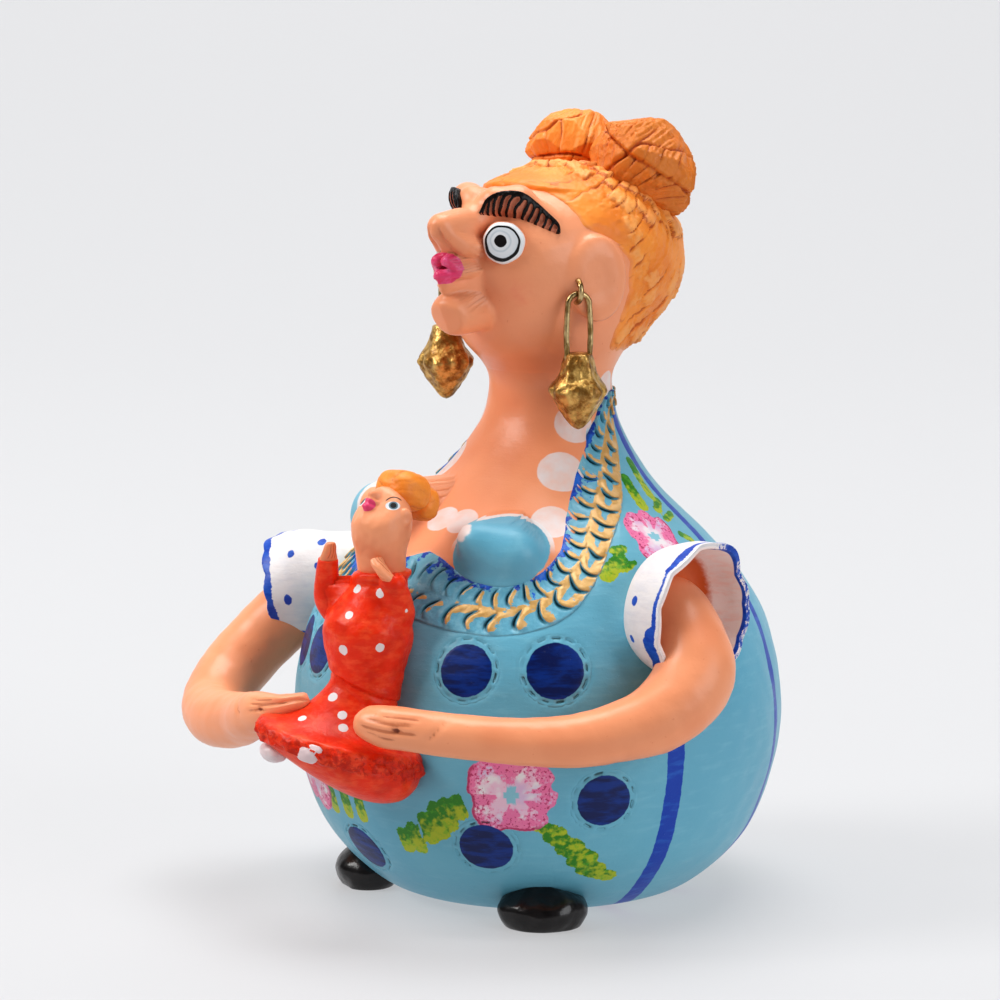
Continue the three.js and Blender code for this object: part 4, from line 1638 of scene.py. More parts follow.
@dataclass
class Bun:
    """A knot of hair, pared into strips that run between two poles and split by cracks.

    Its longest radius lies along a given direction and the last one near the upright. A crack is
    a direction in which it lies and how far out it is, as a share of the radius.
    """

    name: str
    centre: Place
    radii: Place
    long: Place
    pole: Place
    cracks: tuple[tuple[Place, float], ...]
    strips: int
    rough: float
    seed: int
    far: float = 9.0
    rows: int = 126
    columns: int = 196

    def flats(self, way: Array, axis: Array, first: Array, second: Array) -> Array:
        """Least distance to random planes that face away from the pole's line, so they run along it.

        Args:
            way: directions from the middle.
            axis: the pole's direction.
            first: a direction square to it.
            second: the other one.

        Returns:
            The radius in each direction.
        """
        rng = np.random.default_rng(self.seed)
        least = np.full(way.shape[:-1], self.far)
        for strip in range(self.strips):
            for height in (-0.60, -0.05, 0.50):
                angle = 2 * math.pi * (strip + rng.uniform(-0.3, 0.3)) / self.strips
                rise = height + rng.uniform(-0.18, 0.18)
                level = math.sqrt(1 - rise**2)
                normal = axis * rise + (first * math.cos(angle) + second * math.sin(angle)) * level
                reach = rng.uniform(0.95 - 0.12 * self.rough, 1.0)
                facing = way @ normal
                plane = np.where(facing > 0.2, reach / np.maximum(facing, 0.2), self.far)
                least = np.minimum(least, plane)
        return soft_union(least, 1.10 + 0 * least, 0.04)

    def build(self, finish: Material) -> None:
        """An ellipsoid pared by planes; each crack's outer side stands out a little further.

        Args:
            finish: its paint.
        """
        way = globe(self.rows, self.columns)
        axis = unit(self.pole)
        first = unit(np.cross(axis, [0.3, 1.0, 0.2]))
        second = np.cross(axis, first)
        along, around = way @ axis, np.arctan2(way @ second, way @ first)
        out = self.flats(way, axis, first, second)
        crack, over = 0 * along, 0 * along
        for number, (normal, place) in enumerate(self.cracks):
            beyond = way @ unit(normal) - place + 0.08 * wobble(way, 1.2, self.seed + 1 + number)
            broken = 0.45 + 0.55 * smooth(wobble(way, 0.9, self.seed + 20 + number), -0.5, 0.3)
            crack = np.maximum(crack, bell(beyond, 0.04) * broken)
            over = over + smooth(beyond, -0.02, 0.03)
        run = around / (2 * math.pi) * self.strips * 1.6 + 0.3 * wobble(way, 1.3, self.seed + 3)
        run = run + 0.5 * np.round(over)
        part = run - np.floor(run)
        cuts = bell(np.minimum(part, 1 - part), 0.06) * (scatter(np.round(run), self.seed) > 0.25)
        cuts = cuts * (1 - smooth(np.abs(along), 0.75, 0.92))
        cuts = cuts * (0.4 + 0.6 * smooth(wobble(way, 0.8, self.seed + 4), -0.6, 0.3))
        step = 0.10 * (stepped(run * 0.8, self.seed + 5, 0.10) - 0.5) * self.rough
        knife = wobble(np.stack([run * 3.4, along * 0.9], axis=-1), 0.7, self.seed + 6)
        ragged = smooth(wobble(way, 0.9, self.seed + 8), -0.2, 0.4) * self.rough
        grain = wobble(way, 0.16, self.seed + 7)
        carved = step + 0.05 * over * self.rough - 0.09 * crack - 0.06 * cuts
        carved = carved + 0.014 * knife * (0.4 + 1.6 * ragged) + 0.010 * grain * (0.3 + 1.2 * ragged)
        longest = unit(self.long)
        axes = np.stack([longest, *upright(longest)])
        local = (way @ axes.T) * (out * (1 + carved))[..., None] * np.array(self.radii)
        skin = local @ axes + np.array(self.centre)
        marks = {
            "carved": (0.5 * step + 0.02 * knife) * 10, "groove": np.clip(crack + 0.8 * cuts, 0, 1),
            "coarse": 0 * carved + self.rough, "edge": 0 * carved + 30.0,
        }
        mould(self.name, skin, marks, finish)


LEFT_BUN = Bun(
    "left_bun", centre=(14.2, 28.5, 202.8), radii=(16.2, 13.0, 12.6), long=(0.62, 0.50, -0.60),
    pole=(0.15, 0.75, 0.64), cracks=(((0.50, 0.30, 0.81), 0.18), ((0.62, -0.1, -0.78), 0.10)),
    strips=12, rough=1.0, seed=11,
)
RIGHT_BUN = Bun(
    "right_bun", centre=(-11.6, 29.0, 207.0), radii=(12.8, 12.6, 10.6), long=(0.77, 0.64, 0.0),
    pole=(-0.15, 0.55, 0.82), cracks=(((-0.55, -0.25, 0.80), 0.70), ((0.1, -0.3, -0.95), 0.45)),
    strips=10, rough=0.3, seed=14,
)


@dataclass(frozen=True)
class HairFinish:
    """Orange paint, with painted shade in the cuts and at the ledge ends and dark fine lines on the smooth
    front, a painted highlight on the raised carving, a darker brown as painted shade where dark is set, and
    thin along the hairline.
    """

    name: str
    # How much of a darker brown is laid on in broad patches as painted shade.
    dark: float = 0.0

    def material(self) -> Material:
        """Reads the carved height, the cuts and the way to the hairline."""
        paint = Paint(self.name)
        carved, coarse, groove = paint.mark("carved"), paint.mark("coarse"), paint.mark("groove")
        broad = paint.noise(13.0)
        fine = paint.noise(2.4, 3.0, rough=0.65)
        ground = paint.colour(broad.over(0.54, 0.12) * 0.7, TINT.hair, TINT.hair_deep)
        # Painted shade: a darker brown in broad patches, as much as dark asks for.
        ground = paint.colour(broad.under(0.62, 0.15) * self.dark, ground, TINT.bun_painted_shade)
        ground = paint.colour(fine.over(0.58, 0.12) * coarse * 0.3, ground, TINT.hair_shade)
        # Painted highlight: the raised carving is paler.
        ground = paint.colour((carved + (fine - 0.5) * 0.7).over(0.50, 0.25) * 0.55, ground, TINT.hair_painted_highlight)
        # Painted shade in the carved cuts, the bun cracks and the ledge ends, and dark fine lines on the
        # smooth front.
        ground = paint.colour((groove + (fine - 0.5) * 0.3).over(0.45, 0.25) * 0.75, ground, TINT.hair_lines_and_painted_shade)
        bare = paint.noise(3.4, 4.0, rough=0.75).over(0.67, 0.03)
        ground = paint.colour(bare * coarse * 0.55, ground, TINT.bare_clay)
        thin = (paint.mark("edge") + (fine - 0.5) * 2.2).under(1.0, 1.4)
        ground = paint.colour(thin * 0.8, ground, TINT.hair_thin)
        relief = paint.noise(1.0, 4.0, rough=0.65) * 0.34 * (coarse * 0.8 + 0.2)
        return paint.finish(Gloss(roughness=0.44, coat=0.06, coat_roughness=0.25), ground, relief)


# Arms and sleeves


@dataclass
class Arm:
    """A rolled arm with a mitten hand, its fingers scored in the clay.

    A scored line is its level on the arm, how far from the tip it starts and ends, and its width.
    """

    name: str
    stations: tuple[tuple[float, float, float, float], ...]
    grip: Place
    ridged: float = 0.0
    rows: int = 160
    columns: int = 52
    fingers: tuple[tuple[float, float, float, float], ...] = (
        (0.40, 4.0, 19.0, 0.075), (0.02, 2.5, 20.0, 0.085), (-0.30, 3.5, 15.0, 0.06), (0.66, 8.0, 20.0, 0.05),
    )

    def build(self, finish: Material) -> None:
        """Rings along the arm's line; the hand is flattened and scored over its last part.

        Args:
            finish: its paint.
        """
        path = evenly(through(self.stations, 400), self.rows)
        line, radii = path[:, :3], path[:, 3]
        length = length_along(line)
        left = length[-1] - length
        angle = full_turn(self.columns)
        tip = np.sqrt(np.clip(1 - (1 - np.clip(left / 2.6, 0, 1)) ** 2, 0.02, 1))
        u = (radii * tip)[:, None] * np.cos(angle)
        v = (radii * tip)[:, None] * np.sin(angle)
        skin = rings_on(line, u, v)
        out = unit(skin - line[:, None])
        showing = smooth(out @ unit(self.grip), 0.15, 0.5)
        level = v / radii[:, None] + 0.07 * wobble(line, 9, 7)[:, None]
        cut = np.zeros_like(u)
        for place, near, far, wide in self.fingers:
            reach = smooth(left, near, near + 2.5) * (1 - smooth(left, far - 3.0, far))
            cut += bell(level - place, wide) * reach[:, None]
        dimple = bell(left[:, None] - 13.5, 0.9) * bell(level - 0.10, 0.13)
        fold = left[:, None] - 22.5
        crease = bell(fold - 3.0 * level, 0.45) + 0.7 * bell(fold + 0.5 - 5.5 * level, 0.4)
        crease = crease * smooth(level, -0.5, 0.0)
        knuckle = self.ridged * np.cos(level * 9.0) * (1 - smooth(left, 9, 15))[:, None]
        lumps = 0.16 * wobble(skin, 19, 61) + 0.09 * wobble(skin, 6, 62)
        lift = lumps - showing * (0.5 * cut + 1.2 * dimple + 0.35 * crease - knuckle)
        marks = {"cut": showing * np.clip(cut + 1.4 * dimple + 0.45 * crease, 0, 1), "hole": showing * dimple}
        mould(self.name, skin + out * lift[..., None], marks, finish, (line[0], line[-1]))


@dataclass(frozen=True)
class ArmFinish:
    """Peach paint with painted shade in the scored lines and creases, and a deeper painted shade in the hole
    of the hand.
    """

    def material(self) -> Material:
        """Reads how deep in a cut a point is."""
        paint = Paint("arm_paint")
        cut = paint.mark("cut") + (paint.noise(1.2) - 0.5) * 0.3
        # Painted shade in the scored fingers and creases, and deeper in the hole of the hand.
        ground = paint.colour(cut.over(0.50, 0.25) * 0.7, peach(paint), TINT.skin_cut_painted_shade)
        ground = paint.colour(paint.mark("hole").over(0.45, 0.15) * 0.8, ground, TINT.skin_hole_painted_shade)
        return varnished(paint, ground, paint.noise(2.2, 3.0) * 0.09 + paint.noise(7.0, 3.0) * 0.08)


@dataclass
class Sleeve:
    """A short white bell sleeve with a wavy rim.

    Dots are a distance from the rim and an angle; patches are an angle, a half angle and how far
    back from the rim the blue reaches there.
    """

    name: str
    centre: Place
    aim: Place
    length: float
    base: float
    rim: float
    seed: int
    dots: tuple[tuple[float, float], ...]
    patches: tuple[tuple[float, float, float], ...]
    lip: float
    deep: float
    wall: float = 1.9
    far: float = 99.0
    outer_rows: int = 70
    inner_rows: int = 45
    columns: int = 160

    def paint_marks(self, from_rim: Array, turn: Array) -> dict[str, Array]:
        """Signed distances to the blue rim line and to the nearest dot.

        Args:
            from_rim: distance back from the rim.
            turn: angle round the sleeve, in radians.

        Returns:
            The fields, by name.
        """
        ragged = 0.5 * np.sin(turn * 9 + self.seed) + 0.5 * np.sin(turn * 4 + 1)
        lip = self.lip * smooth(-np.cos(turn), -0.3, 0.5)
        blue = np.abs(from_rim - lip - 0.55 - 0.2 * ragged) - 0.6 - 0.2 * np.sin(turn * 6 + 2)
        for angle, half, reach in self.patches:
            off = np.abs(turned_from(turn, angle)) / math.radians(half)
            far = lip + (reach - lip) * (1 - smooth(off, 0.6, 1.0)) * (0.9 + 0.12 * np.sin(turn * 13))
            blue = np.minimum(blue, np.maximum(from_rim - far, lip - from_rim))
        dot = np.full(np.broadcast_shapes(from_rim.shape, turn.shape), self.far)
        for number, (row, angle) in enumerate(self.dots):
            off = turned_from(turn, angle) * self.rim * 0.95
            dot = np.minimum(dot, np.hypot(from_rim - row, off * 0.8) - 1.2 - 0.2 * math.sin(5 * number))
        return {"blue": blue + 0 * dot, "dot": dot}

    def build(self, finish: Material) -> None:
        """Out along the outside from the base, over the rim, and back along the inside.

        Args:
            finish: its paint.
        """
        base, rim, wall, end = self.base, self.rim, self.wall, self.length
        half = (base + rim) / 2
        outside = through([(base - 9, -self.deep - 2), (base - 3, -self.deep), (base, 0),
                           (half + 0.8, end * 0.5), (rim, end - 0.6), (rim - 0.5, end)], self.outer_rows)
        inside = through([(rim - wall * 0.7, end), (rim - wall, end - 0.7), (half - wall, end * 0.5),
                          (base - wall - 1.2, 2.0), (base - 8, 1.0), (1.0, 1.0)], self.inner_rows)
        outline = np.concatenate([outside, inside])
        turn = full_turn(self.columns)
        share = np.clip(outline[:, 1] / self.length, 0, 1)[:, None] ** 2
        rng = np.random.default_rng(self.seed)
        wave = sum(
            rng.uniform(0.35, 1.0) / math.sqrt(k) * np.sin(k * turn + rng.uniform(0, 6.28))
            for k in (2, 3, 5, 7, 8)
        )
        scallop = np.abs(np.sin(5.5 * turn + self.seed + 0.5 * np.sin(2 * turn)))
        rim_wave = 0.9 * np.sin(3 * turn + self.seed) + scallop - 0.6
        radius = outline[:, :1] + 0.9 * share * wave
        height = outline[:, 1:] + 0.8 * share * rim_wave
        aim = unit(self.aim)
        right, rise = upright(aim)
        u, v = radius * np.cos(turn), radius * np.sin(turn)
        skin = np.array(self.centre) + u[..., None] * right + v[..., None] * rise + height[..., None] * aim
        skin = skin + 0.12 * wobble(skin, 8, self.seed)[..., None] * np.array([0.3, 0.3, 1.0])
        count = len(outside)
        marks = self.paint_marks((self.length - outline[:, 1:]) + 0 * turn, turn[None, :])
        within = np.concatenate([np.zeros(count), 1 + (self.length - inside[:, 1])])
        marks["within"] = np.broadcast_to(within[:, None], u.shape)
        tips = (np.array(self.centre) - (self.deep + 2.5) * aim, np.array(self.centre) + aim)
        mould(self.name, skin, marks, finish, tips)


@dataclass(frozen=True)
class SleeveFinish:
    """White outside with blue dots and a brushed cobalt rim, pinkish inside."""

    def material(self) -> Material:
        """Reads the distances to the blue line and the dots, and how far inside a point is."""
        paint = Paint("sleeve_paint")
        within = paint.mark("within")
        frayed = paint.noise(1.3, 3.0, rough=0.7)
        streaks = paint.noise(6.0, 3.0, (1.0, 1.0, 0.25), 0.6)
        ground = paint.colour(streaks.over(0.55, 0.15) * 0.35, TINT.white, TINT.white_shade)
        outside = within.under(1.9, 0.1)
        tone = paint.colour(streaks.over(0.50, 0.15) * 0.7, TINT.cobalt, TINT.cobalt_rim)
        rim = (paint.mark("blue") + (frayed - 0.5) * 1.6).under(0.0, 0.15)
        blue = rim.most((paint.mark("dot") + (frayed - 0.5) * 0.6).under(0.0, 0.12))
        lining = paint.colour(streaks.over(0.56, 0.12) * 0.5, TINT.lining, TINT.lining_dark)
        lining = paint.colour((within + (frayed - 0.5) * 2.0).over(10.5, 1.2), lining, TINT.deep)
        ground = paint.colour(within.over(0.5, 0.2), ground, lining)
        ground = paint.colour(blue * outside, ground, tone)
        return paint.finish(Gloss(), ground, paint.noise(2.0, 3.0) * 0.12 + streaks * 0.10)


@dataclass
class Shoes:
    """Two black shoe tips under the hem: a name, a centre, radii and a turn about Z for each."""

    lumps: tuple[tuple[str, Place, Place, float], ...] = (
        ("left_shoe", (33.2, -38.2, 4.4), (12.2, 10.2, 8.2), 41.0),
        ("right_shoe", (-35.0, -33.6, 4.4), (10.6, 9.4, 7.6), -41.0),
    )
    seed: int = 70
    planes: int = 7
    rows: int = 60
    columns: int = 96

    def build(self, finish: Material) -> None:
        """A pared lump for each, flat on the ground."""
        for number, (name, centre, radii, turn) in enumerate(self.lumps):
            way = globe(self.rows, self.columns)
            size = pared(way, self.seed + number, self.planes, 0.86, 0.96, 0.16)
            size = size + 0.025 * wobble(way, 1.3, 9) + 0.006 * wobble(way, 0.3, 8)
            skin = set_down(way * size[..., None], radii, (0, 0, turn), centre)
            skin[..., 2] = np.maximum(skin[..., 2], 0.0)
            mould(name, skin, {}, finish)


@dataclass(frozen=True)
class PlainFinish:
    """One paint with a little unevenness."""

    name: str
    colour: Place
    second: Place
    look: Gloss = Gloss()
    grain: float = 0.14

    def material(self) -> Material:
        """A base colour clouded with a second one."""
        paint = Paint(self.name)
        ground = paint.colour(paint.noise(4.0, 3.0).over(0.55, 0.14) * 0.6, self.colour, self.second)
        relief = paint.noise(1.8, 3.0) * self.grain
        return paint.finish(self.look, ground, relief)


# The girl


@dataclass
class Girl:
    """The small girl in a red dress who is held in front of the belly.

    Her skirt is a bowl that leans to one side: right and back are its two directions.
    """

    skirt: tuple[float, float] = (-3.2, -79.7)
    waist: tuple[float, float] = (-0.6, -73.0)
    right: tuple[float, float] = (0.766, 0.643)
    half: tuple[float, float] = (22.3, 19.4)
    hem: float = 52.5
    middle: float = 0.4
    neck_floor: float = 94.5
    view_y: float = -66.8
    view_z: float = 110.0
    steps: int = 46
    dress_rows: int = 120
    dress_columns: int = 96
    skirt_rows: int = 100
    skirt_columns: int = 190
    head_rows: int = 128
    front: float = -100.9
    blunt: float = 2.6
    limbs: tuple[Dab, ...] = (
        Dab((-1.2, -70.4, 83), (0.3, -67.2, 94.5), 10.7, 6.8, 5.0),
        Dab((7.2, -67.5, 88), (8.4, -71.2, 96.0), 4.0, 3.0, 2.0),
        Dab((-8.5, -71, 82), (-12.0, -74.2, 93), 4.2, 3.1, 2.0),
    )
    profile: tuple[Dab, ...] = (
        Dab((0, -68.6, 119.2), (0, -70.8, 119.4), 1.4, 1.0, 1.0),
        Dab((0.2, -71.6, 117.9), (1.6, -70.6, 117.4), 1.1, 0.6, 0.6),
        Dab((0.2, -72.9, 116.6), (1.4, -71.8, 116.2), 1.0, 0.6, 0.5),
    )

    def body_shape(self, points: Array) -> Array:
        """Torso with a waist, two sleeved arms and the collar of the dress.

        Args:
            points: places, in millimetres.

        Returns:
            Signed distance, negative inside.
        """
        trunk = roll(points, (-0.6, -72.8, 60), (-1.3, -70.6, 80), 8.6, 10.6)
        near = dabbed(trunk, points, self.limbs)
        rim = np.hypot(points[..., 0] - self.middle, points[..., 1] + 67.2) - 6.3
        ring = np.hypot(rim, points[..., 2] - 97.2 - 0.16 * (points[..., 0] - self.middle)) - 1.35
        near = soft_union(near, ring, 1.1)
        side = (points[..., :2] - np.array(self.skirt)) @ np.array(self.right)
        waist = points[..., 2] - 72.3 + 0.449 * (side + 3.4)
        seam = bell(waist + 0.5, 0.55)
        return near - 0.45 * smooth(waist, -0.3, 0.3) + 0.35 * seam

    def skirt_shape(self, turn: Array, count: int) -> tuple[Array, Array]:
        """The skirt's surface: down from the waist, out to the hem, and back under as a bowl.

        Args:
            turn: angles round the skirt, from its right.
            count: how many rings.

        Returns:
            The points, and how near each is to the ruffled hem, from 0 to 1.
        """
        upper = [
            (0.38, 19.0), (0.39, 15.5), (0.43, 11.0), (0.52, 7.2), (0.68, 4.4), (0.86, 3.0), (0.96, 2.4),
            (1.0, 0.8), (1.0, -2.0), (0.962, -3.4),
        ]
        bowl = [(w, -12.5 * math.sqrt(1 - w * w)) for w in (0.93, 0.86, 0.74, 0.58, 0.40, 0.22, 0.03)]
        outline = evenly(through([*upper, *bowl], 300) * np.array([22, 1]), count) / np.array([22, 1])
        wide, high = outline[:, :1], outline[:, 1:]
        shift = smooth(high, 2.0, 14.0)
        first = self.half[0] * wide * np.cos(turn)
        second = self.half[1] * wide * np.sin(turn)
        hem = bell(high + 0.6, 2.6) * smooth(wide, 0.84, 0.96)
        place = np.stack([first, second, 2.2 * high + 0 * turn], axis=-1)
        folds = np.sin(turn * 22 + 2.6 * wobble(place, 12, 81) + 0.45 * high)
        ragged = 0.5 + 0.5 * smooth(wobble(place, 16, 85), -0.6, 0.4)
        push = hem * ragged * (0.9 * np.maximum(folds, -0.5) + 0.55 * wobble(place, 4.6, 82) - 0.1)
        deep = 1 + 0.0225 * first * smooth(-high, 1.0, 5.0)
        z = self.hem + high * deep - (0.226 + 0.20 * shift) * first
        z = z + 0.5 * wobble(place, 17, 83) * smooth(wide, 0.6, 1.0) + 0.5 * hem * wobble(place, 4.0, 84)
        grow = 1 + push / 21
        first, second = first * grow, second * grow
        right, back = self.right
        x = self.skirt[0] + (self.waist[0] - self.skirt[0]) * shift + first * right - second * back
        y = self.skirt[1] + (self.waist[1] - self.skirt[1]) * shift + first * back + second * right
        return np.stack([x, np.maximum(y, self.front), z], axis=-1), hem + 0 * turn

    def build_dress(self, finish: Material) -> None:
        """Torso and arms drawn in on their shape, and the skirt from its outline.

        Args:
            finish: its paint.
        """
        z = np.linspace(58, 98.6, self.dress_rows)
        turn = full_turn(self.dress_columns)
        axis_x = np.interp(z, [58, 80, 98], [-0.6, -1.2, 0.4])[:, None]
        axis_y = np.interp(z, [58, 80, 98], [-73.0, -70.6, -67.2])[:, None]
        origin = np.stack(np.broadcast_arrays(axis_x, axis_y, z[:, None] + 0 * turn), axis=-1)
        way = np.stack(np.broadcast_arrays(np.sin(turn), -np.cos(turn), 0 * z[:, None] * turn), axis=-1)
        skin = settle(origin, way, self.body_shape, 22, self.steps)
        skin = skin + way * (0.25 * wobble(skin, 8, 83) + 0.10 * wobble(skin, 3, 84))[..., None]
        mould("girl_dress", skin, {"hem": 0 * skin[..., 0]}, finish)
        skirt, hem = self.skirt_shape(full_turn(self.skirt_columns), self.skirt_rows)
        mould("girl_skirt", skirt, {"hem": hem}, finish)
        for name, stations in (
            ("girl_right_sleeve", ((-9.5, -71.5, 84, 3.6), (-12.4, -74.2, 90, 3.7), (-12.4, -74.6, 96.5, 3.2),
                                   (-11.8, -74.8, 101.2, 2.7))),
            ("girl_left_sleeve", ((7.0, -66.0, 88, 3.4), (8.6, -69.5, 93, 3.3), (8.3, -71.6, 96.8, 2.9),
                                  (8.1, -72.2, 98.2, 2.6))),
        ):
            arm = evenly(through(stations, 90), 50)
            angle = full_turn(44)
            rings = rings_on(arm[:, :3], arm[:, 3:] * np.cos(angle), arm[:, 3:] * np.sin(angle))
            mould(name, rings, {"hem": 0 * rings[..., 0]}, finish, (arm[0, :3], arm[-1, :3]))

    def face_shape(self, points: Array) -> Array:
        """A thick neck that widens into a head whose face is a slope turned up, with an ear each side.

        Args:
            points: places, in millimetres.

        Returns:
            Signed distance, negative inside.
        """
        half = folded(points, self.middle)
        near = roll(half, (0, -66.4, 93), (0, -67.4, 107), 6.1, 7.1)
        head = pebble(half, (0, -66.6, 112.0), (7.7, 8.8, 9.2), (6, 0, 0))
        slope = 0.42 * half[..., 0] - 0.62 * (points[..., 1] + 73.5) + 0.66 * (points[..., 2] - 115.5)
        near = soft_union(near, -soft_union(-head, -slope, 1.2), 3.0)
        near = dabbed(near, half, self.profile)
        ear = pebble(half, (7.6, -65.6, 113.4), (1.2, 1.9, 2.5), (0, 0, -12))
        dish = pebble(half, (9.2, -66.4, 113.3), (1.1, 1.1, 1.5), (0, 0, -12))
        return soft_union(near, soft_cut(ear, dish, 0.4), 0.7)

    def build_head(self, skin_paint: Material, hair_paint: Material) -> None:
        """Face and neck, and the hair rolled over the top with a small bun behind.

        Args:
            skin_paint: paint of the skin.
            hair_paint: paint of the hair.
        """
        way = globe(self.head_rows, self.head_rows, 0.35)
        view = (self.middle, self.view_y, self.view_z)
        skin = draw_in(way, view, self.face_shape, self.neck_floor, 24, self.steps)
        mould("girl_head", skin + way * (0.06 * wobble(skin, 3.5, 86))[..., None], {}, skin_paint)
        for name, centre, radii, turn, strips in (
            ("girl_hair", (0.4, -58.0, 119.2), (6.9, 7.0, 5.4), (-18, 0, 0), 9),
            ("girl_bun", (0.6, -50.6, 114.8), (5.0, 3.6, 4.8), (-12, 0, 0), 7),
        ):
            way = globe(60, 90)
            run = np.arctan2(way[..., 2] + 0.4, way[..., 0]) / (2 * math.pi) * strips * 1.6
            run = run + 0.3 * wobble(way, 1.1, 87)
            part = run - np.floor(run)
            groove = bell(np.minimum(part, 1 - part), 0.10) * (0.3 + 0.7 * scatter(np.round(run), 3.0))
            carved = 0.02 * wobble(way, 0.8, 88) - 0.035 * groove
            blunt = (np.abs(way) ** self.blunt).sum(-1) ** (-1 / self.blunt)
            skin = set_down(way * (blunt * (1 + carved))[..., None], radii, turn, centre)
            marks = {
                "carved": carved * 5, "groove": groove * 0.6, "coarse": 0.4 + 0 * carved,
                "edge": 30 + 0 * carved,
            }
            mould(name, skin, marks, hair_paint)

    def build_limbs(self, skin_paint: Material, shoe_paint: Material) -> None:
        """Two raised hands with scored fingers, and two shoes at the hem.

        Args:
            skin_paint: paint of the hands.
            shoe_paint: paint of the shoes.
        """
        hands = (
            ("girl_left_hand", ((8.6, -71.2, 96, 2.6), (7.4, -73.0, 98.5, 2.7), (5.8, -74.0, 101.2, 2.5),
                                (4.6, -74.0, 103.2, 1.7))),
            ("girl_right_hand", ((-11.9, -74.8, 99.0, 2.6), (-11.4, -75.0, 102.2, 2.5),
                                 (-10.9, -75.0, 104.6, 2.1), (-10.6, -75.0, 106.0, 1.4))),
        )
        for name, stations in hands:
            path = evenly(through(stations, 90), 60)
            line, radii = path[:, :3], path[:, 3]
            angle = full_turn(64)
            tip = np.sqrt(np.clip(1 - np.linspace(-20, 1, len(path)).clip(0, 1) ** 2, 0.05, 1))
            level = np.cos(angle)[None, :]
            front = smooth(-np.sin(angle), 0.1, 0.5)[None, :]
            cut = sum(bell(level - place, 0.10) for place in (-0.45, 0.0, 0.45))
            reach = smooth(np.linspace(0, 1, len(path)), 0.30, 0.45)[:, None]
            cut = cut * np.maximum(front, smooth(np.sin(angle), 0.1, 0.5)[None, :]) * reach
            size = (radii * tip)[:, None] * (1 - 0.10 * cut)
            rings = rings_on(line, size * np.cos(angle), size * 0.62 * np.sin(angle))
            mould(name, rings, {"cut": cut * 0.8, "hole": 0 * cut}, skin_paint, (line[0], line[-1]))
        for name, centre, radii, turn in (
            ("girl_right_shoe", (-14.2, -94.2, 51.2), (4.4, 3.7, 2.9), (0, 12, -20)),
            ("girl_left_shoe", (1.2, -95.8, 53.4), (4.6, 4.0, 3.4), (0, -10, 0)),
        ):
            way = globe(50, 80)
            size = pared(way, 91, 9, 0.84, 0.95, 0.12) + 0.02 * wobble(way, 0.6, 89)
            mould(name, set_down(way * size[..., None], radii, turn, centre), {}, shoe_paint)


@dataclass(frozen=True)
class RedDressFinish:
    """Red-orange paint with white dots."""

    dots: tuple[tuple[Place, float], ...] = (
        ((-0.7, -75.6, 94.4), 1.0), ((6.0, -73.5, 93.7), 1.1), ((0.7, -80.4, 88.1), 0.95),
        ((0.3, -82.4, 78.8), 1.15), ((8.9, -77.1, 79.7), 1.0), ((12.6, -69.7, 88.8), 1.0),
        ((-2.7, -83.4, 65.8), 1.1), ((2.1, -84.8, 61.7), 1.05), ((4.1, -86.7, 58.8), 1.1),
        ((-6.7, -91.1, 60.7), 0.95), ((-10.0, -76.0, 82.0), 1.0), ((-9.5, -67.0, 88.0), 1.0),
        ((-10.5, -79.0, 63.5), 1.0), ((12.0, -76.0, 57.5), 1.0), ((-17.5, -83.0, 57.6), 1.0),
    )

    def material(self) -> Material:
        """Red clouded with a paler and a darker red, then the dots."""
        paint = Paint("red_dress_paint")
        streaks = paint.noise(5.0, 3.0, (1, 1, 0.4), 0.6)
        ground = paint.colour(streaks.over(0.55, 0.15) * 0.7, TINT.red, TINT.red_pale)
        ground = paint.colour(paint.noise(8.0).over(0.56, 0.12) * 0.45, ground, TINT.red_dark)
        dabs = paint.noise(2.2, 3.0, rough=0.7)
        hem = paint.mark("hem")
        ground = paint.colour(hem.over(0.35, 0.2) * dabs.over(0.52, 0.08) * 0.7, ground, TINT.red_dark)
        nearest: Wire | None = None
        for centre, size in self.dots:
            gap = paint.vector("DISTANCE", paint.place, centre) / size
            nearest = gap if nearest is None else nearest.least(gap)
        frayed = paint.noise(1.0)
        ground = paint.colour((nearest + (frayed - 0.5) * 0.35).under(1.25, 0.08), ground, TINT.white)
        relief = paint.noise(1.6, 3.0) * 0.22 + dabs * hem * 0.5
        return paint.finish(Gloss(roughness=0.38, specular=0.25), ground, relief)


@dataclass(frozen=True)
class GirlFaceFinish:
    """Skin with small painted eyes, brows and lips."""

    def material(self) -> Material:
        """Marks by distance from named spots on the face, the same each side."""
        paint = Paint("girl_face_paint")
        side, z = paint.folded(0.4)
        ground = paint.colour(paint.noise(9.0).over(0.55, 0.15) * 0.5, TINT.skin, TINT.skin_dark)
        eye = paint.reach(side, (5.4, -68.3, 116.7), (2.0, 2.0, 1.15))
        ground = paint.colour(eye.under(1.0, 0.06), ground, TINT.eye)
        iris = paint.vector("DISTANCE", side, (5.5, -68.2, 116.8))
        ground = paint.colour(iris.under(1.25, 0.06), ground, TINT.iris)
        ground = paint.colour(iris.under(0.85, 0.06), ground, TINT.black)
        brow = paint.vector("DISTANCE", side, (5.0, -67.4, 116.2))
        arc = (brow - 2.7).size().under(0.16, 0.08) * z.over(117.9, 0.3)
        ground = paint.colour(arc, ground, TINT.black)
        lips = paint.reach(side, (0.0, -72.6, 117.0), (2.3, 2.4, 1.8))
        ground = paint.colour(lips.under(1.0, 0.06), ground, TINT.lips)
        return paint.finish(Gloss(), ground, paint.noise(1.8, 3.0) * 0.1)


# Earrings


